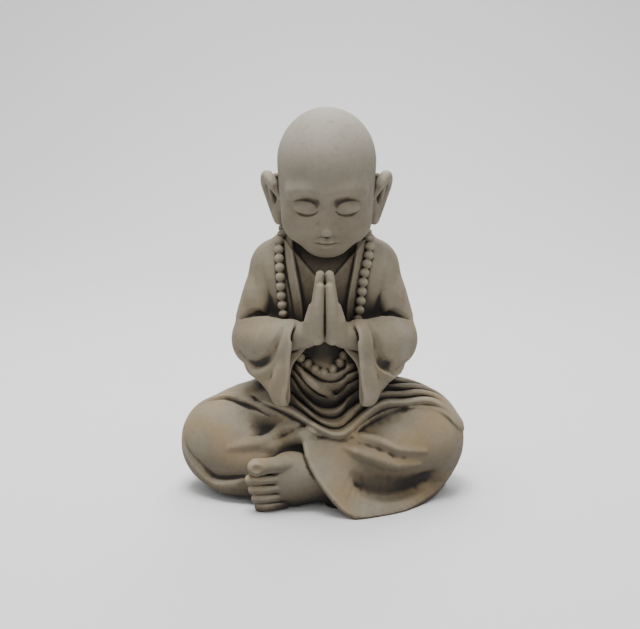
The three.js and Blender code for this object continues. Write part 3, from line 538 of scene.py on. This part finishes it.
# Cloth of the right leg: a sheet that falls over the ankle and spreads on the ground.
def flare():
    rim = curve([
        (-4.8, -21, 18.8), (-4.2, -24.4, 14.6), (-1.8, -27.4, 10), (1.6, -29.4, 5.6), (5, -30.6, 2.2),
        (8, -31.2, 0.5), (13.6, -29.2, 0), (19.2, -26.4, 0), (24.4, -21.4, 0.6), (29.4, -16.4, 2.4),
        (32.8, -12, 6), (34.8, -9.6, 11), (34.8, -8, 17),
    ], 22)
    root = curve([
        (1, -19, 18), (3, -21, 15), (5, -23, 12), (6.6, -24, 9.6), (8, -23.4, 8),
        (10.4, -22.4, 7), (14, -20.6, 6.4), (18, -18.4, 6.2), (22.6, -15.8, 6.6), (26.6, -12.8, 8.4),
        (29.6, -10.8, 11), (30.6, -9.4, 13.6), (31, -8, 17),
    ], 22)
    sheet = []
    for i in range(len(rim) - 1):
        sheet.append(Web([rim[i], rim[i + 1], root[i]], [1, 1, 1.6]))
        sheet.append(Web([root[i], root[i + 1], rim[i + 1]], [1.6, 1.6, 1]))
    under = limb([(4, -21, 1.4), (12, -18, 0.4), (21, -12, 1), (27, -6, 4)], [4, 4.8, 5.4, 5.8], 10)
    return blend(1.6, blend(0.05, sheet), under)


def legs():
    """Thighs and shins under cloth, crossed in front."""
    hips = Egg((0, 7, 13), (25, 15, 16))
    left = blend(
        5,
        limb([(-11, 5, 14), (-20, -1.5, 14.4), (-27, -5.6, 13.4)], [12, 11.6, 10.8]),
        limb([(-26.6, -8.4, 10.2), (-15, -14, 8.4), (-4, -17, 8)], [9.2, 8.4, 7]),
    )
    right = blend(
        5,
        limb([(11, 5, 14), (19, -2, 14.6), (25.4, -6, 13.8)], [12, 11.8, 11]),
        limb([(25, -9.4, 12), (16, -15.8, 12.2), (7, -18.6, 12.4)], [9.2, 7.8, 6.6]),
    )
    lap = Web([(-13, -9, 20), (14, -9, 20), (1.5, -18.6, 14.5)], [6, 6, 4.6])
    flesh = blend(3, left, right, hips, lap)
    roll = limb([
        (-35.6, -7, 9.8), (-32, -13, 6.6), (-26.6, -17, 4), (-18, -19.8, 3.8),
    ], [1.2, 2.2, 2.6, 2.4], 10)
    cloth = blend(2.4, flesh, roll, flare())
    shin_folds = [
        fold(cloth, [
            (-24.4, -18.4, 14.2), (-19.4, -18.9, 15.6), (-15.6, -19, 16.8), (-11, -18.2, 19),
            (-6, -18.6, 21),
        ], 2, 0.3),
        fold(cloth, [(-16, -20, 14.6), (-10.4, -19.6, 16.4), (-5, -20.6, 18.2), (-1, -21, 19)], 1.9, 0.3),
        fold(cloth, [
            (8, -21.6, 18.6), (10.2, -21.7, 18.2), (15, -22.4, 16.9), (19, -23, 15.5), (26, -20.2, 13.7),
        ], 1.4, 0.45, 12),
        fold(cloth, [
            (5, -25, 17.2), (8.6, -26, 16), (13.6, -26.4, 13.6), (17.8, -25, 11.4), (24.6, -21, 10.2),
        ], 1.8, 0.45, 14),
    ]
    hollow = [
        (6, -26, 10), (8, -26, 8), (11, -26, 5.6), (16.4, -24.7, 4.2),
        (22, -21.2, 4.4), (27.6, -17.5, 7), (31, -15.4, 11),
    ]
    under_thigh = [
        (-37.8, -8, 16), (-37.4, -10, 13.8), (-35.8, -13, 11.2), (-32.5, -15.7, 8.9),
        (-28.6, -17.4, 6), (-26, -18.4, 5.8), (-20.6, -20.2, 7.4),
    ]
    folded = blend(1.2, cloth, shin_folds)
    return carve(1.2, folded, fold(cloth, under_thigh, 1, 0.4, 14), fold(cloth, hollow, 2.4, 0.85, 14))


# The lower edge of the lap cloth: its height, how far forward it lies, and how far apart the
# folds above it are, by place across.
HEM_FROM, HEM_TO = -38, 37
HEM_HEIGHT = [21, 23.4, 25, 25, 24.4, 23.2, 21, 18.6, 17.8, 20.2, 22, 23, 23.2, 21, 15.6]
HEM_FORWARD = [-6, -7, -7.6, -10, -13.6, -16, -18.6, -21.6, -21.4, -17, -13, -11.4, -10.6, -10.6, -11]
HEM_PITCH = [2.2, 2.2, 2.2, 2.2, 2.3, 2.5, 2.9, 3.1, 3, 2.7, 2.5, 2.3, 2.2, 2, 2]
HEM_BACK = 6  # its height at the back
SWAG_DEPTH = 1.5  # how deep its folds are
SWAGS = 7  # how many there are


def drape(p):
    """How far the lap cloth and its folds stand over the body."""
    x, y, z = p.T
    across = (x - HEM_FROM) / (HEM_TO - HEM_FROM)
    behind = y + 0.3 * np.maximum(np.abs(x) - 22, 0)
    front = 1 - smoothstep(behind, -1, 12)
    rise = z - lerp(HEM_BACK, flowing(HEM_HEIGHT, across), front)
    rise = rise - 0.07 * np.minimum((x + 1.2) ** 2, 50) * smoothstep(rise, -1, 10)
    run = (rise + 0.5 * (y - flowing(HEM_FORWARD, across))) / flowing(HEM_PITCH, across)
    run = run + 0.12 * np.sin(0.33 * x + 0.9 * run)
    sides = smoothstep(x, -34, -8) * lerp(1, 0.3, smoothstep(x, 28, 38))
    layer = smoothstep(rise, -0.5, 0.5) * smoothstep(38 - z, 0, 5) * sides
    swag = np.abs(np.sin(np.pi * clamp(run, 0, SWAGS))) ** 0.8
    fade = front * smoothstep(SWAGS - run, 0, 1.5) * smoothstep(x, -16, -7) * smoothstep(36 - x, 0, 10)
    deep = SWAG_DEPTH * (0.85 + 0.15 * np.sin(0.5 * x + 2.1 * run))
    return LAP * layer + deep * (swag - 0.6) * fade * layer


def foot():
    """The foot lies on its outer edge, toes to the left, showing its back."""
    body = blend(3, Egg((-8.4, -23.4, 7.6), (7.4, 3.8, 7.3)), Egg((2, -22.6, 7.2), (8.6, 3.7, 6.4)))
    toes = [
        limb([
            (-10, -25, z), (-15.6 + 0.3 * i, -26.7, z), (-18.9 + 0.8 * i, -26, z - 0.2),
        ], [1.1, 1.15, 1.35], 6)
        for i, z in enumerate((8.5, 6, 3.6, 1.4))
    ]
    big_toe = limb([(-9, -24.4, 12.2), (-14.4, -26.4, 12.2), (-17.2, -26.8, 11.9)], [2.2, 2, 2.3], 6)
    nail = Egg((-17, -29.1, 12.6), (1.7, 0.6, 1.4))
    return blend(0.35, body, toes, carve(0.3, big_toe, nail))


# The long string of beads: how far the string and the centres of its beads lie over the cloth, in
# radii of a bead, and the number of steps along the string
STRING_RISE = 0.5
BEAD_RISE = 0.55
STRING_STEPS = 400


def beads(body):
    """Beads of the long string, spaced along a line laid on the chest and round the neck."""
    left = [
        (-6.6, 8, 68), (-8.8, 2, 66.6), (-10.6, -4, 62.6), (-11, -6.4, 58),
        (-10.8, -8.6, 51), (-9.4, -11, 43), (-5.6, -14, 36.6),
    ]
    right = [
        (6.6, 8, 68), (8.8, 2, 66.6), (10.2, -4, 62.6), (10.2, -7.4, 57),
        (9, -9.8, 50), (7.6, -12, 43), (4.8, -14, 36.6),
    ]
    guide = settle(body, [(-0.2, -15, 33.4), *right[::-1], (0, 11, 68), *left], STRING_RISE * BEAD)
    route = curve(guide, STRING_STEPS, closed=True)
    run = np.concatenate([[0], np.cumsum(length(np.diff(route, axis=0)))])
    count = round(run[-1] / (BEAD_PITCH / UNIT))
    at = np.linspace(0, run[-1], count + 1)[:-1]
    places = np.stack([np.interp(at, run, route[:, axis]) for axis in range(3)], 1)
    return [ball(p, BEAD) for p in settle(body, places, BEAD_RISE * BEAD)]


def figure():
    robe = robes()
    lower = Raised(LAP + SWAG_DEPTH, blend(2.5, robe, legs()), drape)
    back_folds = folds(
        lower,
        [(-8, 20, 27), (-14, 22, 16), (-20, 22, 6)],
        [(8, 20, 27), (14, 22, 16), (22, 20, 6)], 5, 1.6, 0.5,
    )
    thigh_fold = fold(lower, [
        (-32.6, -7, 22.9), (-28.8, -6.6, 24.6), (-24, -7.5, 25.4),
        (-21, -9.4, 24.7), (-15.7, -13.9, 23.4), (-8.6, -17.2, 21),
    ], 1.5, 0.1, 12)
    slant = fold(lower, [
        (-6, -15, 33.6), (-4.8, -15, 32.4), (-2.5, -15.4, 30.4), (1.6, -14.2, 26.9), (3, -14.6, 26),
    ], 1.2, 0.4)
    raised = blend(0.8, lower, back_folds, thigh_fold, slant)
    thigh_crease = fold(raised, [
        (-30.8, -7.2, 22.6), (-27, -7.4, 24.2), (-22.6, -9.4, 23.8),
        (-18.4, -12.6, 22.8), (-14.6, -14.6, 21.6),
    ], 0.55, 0.5, 14)
    folded = carve(0.5, raised, thigh_crease)
    body = blend(1.2, folded, sleeve(-1), sleeve(1))
    return blend(0.3, body, head(), foot(), hand(-1), hand(1), blend(0.15, beads(robe)))


# From field to mesh
BLOCK = 16  # cells along the side of the smallest block
PATCH = 4  # cells along the side of the smallest piece of a block that may be left out
MARGIN = 0.5  # how far outside a block a form still counts in it
# The field isn't an exact distance. So a block or a patch is far from the surface only where the
# field at its middle is over this many times its radius, and this much more.
BLOCK_FAR, BLOCK_MORE = 1.5, 1
PATCH_FAR, PATCH_MORE = 1.4, 0.3
LOW = np.array([-42.0, -35.0, -2.0])
HIGH = np.array([42.0, 27.0, 102.0])


def sample(form, cell):
    """The field on a grid, exact near the surface and only its sign elsewhere, and what of the
    form matters in each block near the surface."""
    size = [math.ceil(n / cell / BLOCK) * BLOCK + 1 for n in HIGH - LOW]
    grid = np.full(size, 1.0, np.float32)
    kept = {}
    patches = BLOCK // PATCH
    centres = PATCH * (np.stack(np.meshgrid(*[np.arange(patches)] * 3, indexing="ij"), -1) + 0.5)
    nodes = np.stack(np.meshgrid(*[np.arange(BLOCK + 1)] * 3, indexing="ij"), -1)
    patch_of = np.minimum(nodes // PATCH, patches - 1)
    patch_reach = PATCH / 2 * cell * math.sqrt(3)

    def fill(part, corner):
        origin = LOW + cell * np.array(corner)
        d = part.distance(origin + cell * centres.reshape(-1, 3)).reshape([patches] * 3)
        close = np.abs(d) < PATCH_FAR * patch_reach + PATCH_MORE
        wanted = np.zeros([BLOCK + 1] * 3, bool)
        for i, j, k in np.argwhere(close) * PATCH:
            wanted[i:i + PATCH + 1, j:j + PATCH + 1, k:k + PATCH + 1] = True
        values = np.sign(d)[tuple(np.moveaxis(patch_of, -1, 0))]
        points = origin + cell * nodes[wanted]
        values[wanted] = np.maximum(part.distance(points), -points[:, 2])
        grid[tuple(slice(c, c + BLOCK + 1) for c in corner)] = values
        kept[tuple(c // BLOCK for c in corner)] = part

    def visit(part, corner, side):
        if any(c >= n - 1 for c, n in zip(corner, size)):
            return
        middle = LOW + cell * (np.array(corner) + side / 2)
        radius = side / 2 * cell * math.sqrt(3)
        part = part.near(middle, radius, MARGIN)
        if part is None:
            return
        d = part.distance(middle[None])[0]
        if abs(d) > BLOCK_FAR * radius + BLOCK_MORE:
            if d < 0:
                grid[tuple(slice(c, c + side + 1) for c in corner)] = -1
        elif side == BLOCK:
            fill(part, corner)
        else:
            half = side // 2
            for i in range(8):
                visit(part, [c + half * (i >> axis & 1) for axis, c in enumerate(corner)], half)

    top = BLOCK * 8
    for i in range(0, size[0], top):
        for j in range(0, size[1], top):
            for k in range(0, size[2], top):
                visit(form, [i, j, k], top)
    return grid, kept


def surface_net(grid):
    """One vertex in each cell that the surface crosses, in cells, with the way out of the surface
    there, and one quad round each edge of the grid that it crosses."""
    inside = grid < 0
    counts = np.zeros(np.array(grid.shape) - 1, np.uint8)
    corners = np.array([(i, j, k) for i in (0, 1) for j in (0, 1) for k in (0, 1)])
    nx, ny, nz = counts.shape
    for i, j, k in corners:
        counts += inside[i:i + nx, j:j + ny, k:k + nz]
    cells = np.argwhere((counts > 0) & (counts < 8))
    number = np.full(counts.shape, -1, np.int32)
    number[tuple(cells.T)] = np.arange(len(cells))
    value = np.stack([grid[tuple((cells + c).T)] for c in corners], 1).astype(float)
    total = np.zeros((len(cells), 3))
    crossings = np.zeros(len(cells))
    for a in range(8):
        for b in range(a + 1, 8):
            if np.abs(corners[a] - corners[b]).sum() != 1:
                continue
            hit = (value[:, a] < 0) != (value[:, b] < 0)
            t = value[hit, a] / (value[hit, a] - value[hit, b])
            total[hit] += corners[a] + t[:, None] * (corners[b] - corners[a])
            crossings[hit] += 1
    vertices = cells + total / crossings[:, None]
    out = value @ (2 * corners - 1)
    out /= np.maximum(length(out), 1e-9)[:, None]
    quads = []
    for axis in range(3):
        u, v = (axis + 1) % 3, (axis + 2) % 3
        start = np.take(inside, range(grid.shape[axis] - 1), axis)
        end = np.take(inside, range(1, grid.shape[axis]), axis)
        edges = np.argwhere(start != end)
        edges = edges[(edges[:, u] > 0) & (edges[:, u] < counts.shape[u])]
        edges = edges[(edges[:, v] > 0) & (edges[:, v] < counts.shape[v])]
        flip = start[tuple(edges.T)]
        ring = []
        for du, dv in ((0, 0), (-1, 0), (-1, -1), (0, -1)):
            cell = edges.copy()
            cell[:, u] += du
            cell[:, v] += dv
            ring.append(number[tuple(cell.T)])
        ring = np.stack(ring, 1)
        quads.append(np.where(flip[:, None], ring, ring[:, ::-1]))
    return vertices, out, np.concatenate(quads)


# How vertices are drawn onto the surface, in cells
FREE_ABOVE = 0.7  # lower ones stay where they are
GROUND_BELOW = 0.45  # lower ones are laid on the ground
LONGEST_MOVE = 0.5
SHARES = (1, 0.7)  # of the distance, on the first and the second turn


def draw_in(points, out, cell, kept):
    """Moves vertices onto the surface itself, block by block, and those under the seat onto the
    ground."""
    keys = np.floor((points - LOW) / cell / BLOCK).astype(int)
    order = np.lexsort(keys.T)
    changes = np.flatnonzero(np.any(np.diff(keys[order], axis=0) != 0, axis=1)) + 1
    for group in np.split(order, changes):
        part = kept.get(tuple(keys[group[0]]))
        group = group[points[group, 2] > FREE_ABOVE * cell]
        if part is None or not len(group):
            continue
        for share in SHARES:
            d = part.distance(points[group])
            d = np.clip(d, -LONGEST_MOVE * cell, LONGEST_MOVE * cell)
            points[group] -= share * d[:, None] * out[group]
    points[:, 2] = np.where(points[:, 2] < GROUND_BELOW * cell, 0, points[:, 2])


def new_mesh(name, vertices, faces):
    mesh = bpy.data.meshes.new(name)
    side = faces.shape[1]
    mesh.vertices.add(len(vertices))
    mesh.vertices.foreach_set("co", np.ascontiguousarray(vertices, np.float32).ravel())
    mesh.loops.add(faces.size)
    mesh.loops.foreach_set("vertex_index", faces.astype(np.int32).ravel())
    mesh.polygons.add(len(faces))
    mesh.polygons.foreach_set("loop_start", np.arange(0, faces.size, side, dtype=np.int32))
    mesh.update(calc_edges=True)
    return mesh


def build_statue():
    """The statue as one object, and the grid of what is solid, by which it is painted."""
    cell = CELL / UNIT
    grid, kept = sample(figure(), cell)
    vertices, out, quads = surface_net(grid)
    points = LOW + cell * vertices
    draw_in(points, out, cell, kept)
    statue = bpy.data.objects.new("statue", new_mesh("statue", points * UNIT, quads))
    bpy.context.scene.collection.objects.link(statue)
    coarse = statue.vertex_groups.new(name="coarse")
    low, high = np.array(FINE).reshape(-1, 2, 3).transpose(1, 0, 2)
    fine = ((points[:, None] > low) & (points[:, None] < high)).all(2).any(1)
    coarse.add(np.flatnonzero(~fine).tolist(), 1, "REPLACE")
    thin = statue.modifiers.new("thin", "DECIMATE")
    thin.vertex_group = coarse.name
    thin.ratio = min(1, TRIANGLES / (2 * len(quads)))
    shaped = bpy.data.meshes.new_from_object(statue.evaluated_get(bpy.context.evaluated_depsgraph_get()))
    statue.modifiers.clear()
    statue.data = shaped
    shaped.name = "statue_mesh"
    shaped.shade_smooth()
    solid = (grid < 0).astype(np.float32)
    solid[:, :, :int(-LOW[2] / cell)] = 1
    return statue, solid


def blurred(volume, reach):
    """The mean of a volume over a cube of 2 * reach + 1 cells round each cell."""
    for axis in range(3):
        pad = [(reach + 1, reach) if a == axis else (0, 0) for a in range(3)]
        run = np.cumsum(np.pad(volume, pad, mode="edge"), axis, dtype=np.float32)
        n = volume.shape[axis]
        high = np.take(run, range(2 * reach + 1, 2 * reach + 1 + n), axis)
        volume = (high - np.take(run, range(n), axis)) / (2 * reach + 1)
    return volume


def look_up(volume, places):
    """The volume's value at places given in cells, mixed between the eight nearest."""
    places = np.clip(places, 0, np.array(volume.shape) - 1.001)
    base = places.astype(int)
    t = places - base
    total = np.zeros(len(places))
    for i in (0, 1):
        for j in (0, 1):
            for k in (0, 1):
                share = np.abs([1 - i, 1 - j, 1 - k] - t).prod(1)
                total += share * volume[base[:, 0] + i, base[:, 1] + j, base[:, 2] + k]
    return total


# Each depth that is painted: its name, the step at which the grid is read, and how far it looks
REACHES = (("near", 1, 0.5), ("middle", 2, 1.3), ("wide", 2, 3.2), ("far", 4, 7.5))


def paint_depth(statue, solid):
    """Stores at each vertex how much solid surrounds it, from near by and from further off. Half
    is a flat place, more is a recess and less is a ridge."""
    mesh = statue.data
    count = len(mesh.vertices)
    points = np.empty(3 * count, np.float32)
    mesh.vertices.foreach_get("co", points)
    places = (points.reshape(-1, 3) / UNIT - LOW) / (CELL / UNIT)
    for name, step, reach in REACHES:
        cells = max(1, round(reach * UNIT / CELL / step))
        volume = solid[::step, ::step, ::step]
        values = look_up(blurred(blurred(volume, cells), cells), places / step)
        mesh.attributes.new(name, "FLOAT", "POINT").data.foreach_set("value", values.astype(np.float32))


statue, solid = build_statue()
paint_depth(statue, solid)

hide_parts("monk_statue")
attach(statue, "root")

# Cast stone


def stone():
    """Grey-beige cast stone: painted shade in the recesses and where it faces down, a painted light
    on the head, ridges lighter as wear and painted highlight, and ochre patches on the sleeves and legs."""
    material = bpy.data.materials.new("cast_stone")
    material.use_nodes = True
    nodes, links = material.node_tree.nodes, material.node_tree.links
    shader = nodes["Principled BSDF"]
    shader.inputs["Specular IOR Level"].default_value = 0.35
    coordinates = nodes.new("ShaderNodeTexCoord")
    place = coordinates.outputs["Object"]

    def math_node(operation, *values):
        node = nodes.new("ShaderNodeMath")
        node.operation = operation
        node.use_clamp = True
        for socket, value in zip(node.inputs, values):
            if isinstance(value, (int, float)):
                socket.default_value = value
            else:
                links.new(value, socket)
        return node.outputs[0]

    def spread(value, low, high, to_low=0.0, to_high=1.0):
        node = nodes.new("ShaderNodeMapRange")
        node.interpolation_type = "SMOOTHSTEP"
        for name, v in (("From Min", low), ("From Max", high), ("To Min", to_low), ("To Max", to_high)):
            node.inputs[name].default_value = v
        links.new(value, node.inputs["Value"])
        return node.outputs["Result"]

    def noise(scale, detail=4, rough=0.6):
        node = nodes.new("ShaderNodeTexNoise")
        node.inputs["Scale"].default_value = scale
        node.inputs["Detail"].default_value = detail
        node.inputs["Roughness"].default_value = rough
        links.new(place, node.inputs["Vector"])
        return node.outputs["Fac"]

    def mix(share, a, b):
        node = nodes.new("ShaderNodeMix")
        node.data_type = "RGBA"
        links.new(share, node.inputs["Factor"])
        for socket, value in ((node.inputs["A"], a), (node.inputs["B"], b)):
            if isinstance(value, tuple):
                socket.default_value = (*value, 1)
            else:
                links.new(value, socket)
        return node.outputs["Result"]

    def attribute(name):
        node = nodes.new("ShaderNodeAttribute")
        node.attribute_name = name
        return node.outputs["Fac"]

    def height_of(vector):
        node = nodes.new("ShaderNodeSeparateXYZ")
        links.new(vector, node.inputs[0])
        return node.outputs["Z"]

    def total(*values):
        result = values[0]
        for value in values[1:]:
            result = math_node("ADD", result, value)
        return result

    near, middle, wide, far = (attribute(name) for name, _, _ in REACHES)
    facing = height_of(coordinates.outputs["Normal"])
    # Painted shade: darker where more solid surrounds a place, less so where the surface faces up
    recess = total(
        spread(near, 0.53, 0.66, 0, 0.4), spread(middle, 0.52, 0.72, 0, 0.4),
        spread(wide, 0.5, 0.72, 0, 0.4),
        math_node("MULTIPLY", spread(far, 0.44, 0.64, 0, 0.6), spread(facing, 0.85, 0.2, 0.2, 1)),
    )
    # Ridges, where less solid surrounds a place, are made lighter: wear and painted highlight
    ridge = total(spread(near, 0.47, 0.3, 0, 0.5), spread(middle, 0.46, 0.25, 0, 0.5))
    up = height_of(place)
    # Painted shade: darker where the surface faces down, more so near the ground
    underside_shade = math_node("MULTIPLY", spread(facing, 0.6, -0.3), spread(up, 0.05, 0.16, 0.85, 0.5))

    cloudy = noise(14)
    grain = noise(160, 6, 0.7)
    base = mix(spread(cloudy, 0.35, 0.7), (0.3, 0.262, 0.195), (0.22, 0.188, 0.135))
    ochre = math_node("MULTIPLY", spread(up, 0.15, 0.3, 0.75, 0.15), spread(noise(12), 0.4, 0.65))
    tinted = mix(ochre, base, (0.3, 0.215, 0.11))
    # Painted light: the upper part of the statue, the head, is lighter, as if lit from above
    lit_top = mix(spread(up, 0.36, 0.5, 0, 0.55), tinted, (0.44, 0.415, 0.36))
    # Lighter ridges: wear and painted highlight
    wear_and_highlight = mix(spread(ridge, 0.2, 0.8, 0, 0.6), lit_top, (0.42, 0.365, 0.27))
    # Painted shade on surfaces that face down
    shaded_underside = mix(underside_shade, wear_and_highlight, (0.085, 0.07, 0.05))
    # Painted shade in the recesses, with a little grain, takes the colour towards brown and then near black
    shade_and_grain = math_node("ADD", recess, spread(grain, 0.4, 0.7, 0, 0.06))
    brown = mix(spread(shade_and_grain, 0.03, 0.45, 0, 0.75), shaded_underside, (0.1, 0.072, 0.04))
    deep_shaded = mix(spread(shade_and_grain, 0.2, 0.85), brown, (0.018, 0.015, 0.012))
    speckled = mix(spread(grain, 0.52, 0.75, 0, 0.3), deep_shaded, (0.1, 0.085, 0.06))
    links.new(speckled, shader.inputs["Base Color"])
    links.new(spread(grain, 0.3, 0.7, 0.62, 0.82), shader.inputs["Roughness"])

    pits = nodes.new("ShaderNodeTexVoronoi")
    pits.inputs["Scale"].default_value = 110
    links.new(place, pits.inputs["Vector"])
    chosen = math_node("GREATER_THAN", noise(40), 0.62)
    pit = math_node("MULTIPLY", spread(pits.outputs["Distance"], 0.1, 0.22, 1, 0), chosen)
    relief = math_node("SUBTRACT", math_node("MULTIPLY", grain, 0.35), pit)
    bump = nodes.new("ShaderNodeBump")
    bump.inputs["Strength"].default_value = 0.5
    bump.inputs["Distance"].default_value = 0.0012
    links.new(relief, bump.inputs["Height"])
    links.new(bump.outputs["Normal"], shader.inputs["Normal"])
    return material


statue.data.materials.clear()
statue.data.materials.append(stone())

# Studio: a pale floor, soft light from above and the camera at the photo's angle, in metres
FLOOR_SIDE = 5  # how far the floor reaches to either side
FLOOR_FRONT = -4
FLOOR_BACK = 1.4  # where the floor begins to bend up
BEND = 1.6  # radius of the bend
WALL_TOP = 5
LIGHT_TARGET = (0, 0, 0.25)
CAMERA_TARGET = (-0.006, 0, 0.226)
CAMERA_DISTANCE = 1.7
CAMERA_TILT = 13  # degrees
CAMERA_LENS = 71.9  # millimetres
CAMERA_SENSOR = 36  # millimetres


def plain(name, colour, roughness):
    material = bpy.data.materials.new(name)
    material.use_nodes = True
    shader = material.node_tree.nodes["Principled BSDF"]
    shader.inputs["Base Color"].default_value = (*colour, 1)
    shader.inputs["Roughness"].default_value = roughness
    return material


def backdrop():
    """A floor that sweeps up into a wall behind, without a line."""
    turn = np.linspace(0, math.pi / 2, 24)
    bend = zip(FLOOR_BACK + BEND * np.sin(turn), BEND - BEND * np.cos(turn))
    profile = [(FLOOR_FRONT, 0), *bend, (FLOOR_BACK + BEND, WALL_TOP)]
    points = np.array([(x, y, z) for y, z in profile for x in (-FLOOR_SIDE, FLOOR_SIDE)])
    faces = np.array([(2 * i, 2 * i + 1, 2 * i + 3, 2 * i + 2) for i in range(len(profile) - 1)])
    sweep = bpy.data.objects.new("backdrop", new_mesh("backdrop", points, faces))
    sweep.data.shade_smooth()
    sweep.data.materials.append(plain("pale_floor", (0.92, 0.92, 0.92), 0.9))
    bpy.context.scene.collection.objects.link(sweep)


def aim(thing, at):
    thing.rotation_euler = (Vector(at) - thing.location).to_track_quat("-Z", "Y").to_euler()


def light(name, at, size, power):
    lamp = bpy.data.lights.new(name, "AREA")
    lamp.size = size
    lamp.energy = power
    thing = bpy.data.objects.new(name, lamp)
    thing.location = at
    aim(thing, LIGHT_TARGET)
    bpy.context.scene.collection.objects.link(thing)


def camera():
    lens = bpy.data.cameras.new("camera")
    lens.sensor_width = CAMERA_SENSOR
    lens.lens = CAMERA_LENS
    thing = bpy.data.objects.new("camera", lens)
    target = Vector(CAMERA_TARGET)
    tilt = math.radians(CAMERA_TILT)
    thing.location = target + CAMERA_DISTANCE * Vector((0, -math.cos(tilt), math.sin(tilt)))
    aim(thing, target)
    bpy.context.scene.collection.objects.link(thing)
    bpy.context.scene.camera = thing


backdrop()
light("sky", (-0.25, 0.1, 2.4), 1.2, 62)
light("back", (0.3, 1.7, 2.2), 1.2, 30)
light("fill", (0.4, -2.2, 1.4), 1.5, 6)
camera()
world = bpy.data.worlds.new("studio")
world.use_nodes = True
world.node_tree.nodes["Background"].inputs["Color"].default_value = (1, 1, 1, 1)
world.node_tree.nodes["Background"].inputs["Strength"].default_value = 0.55
bpy.context.scene.world = world
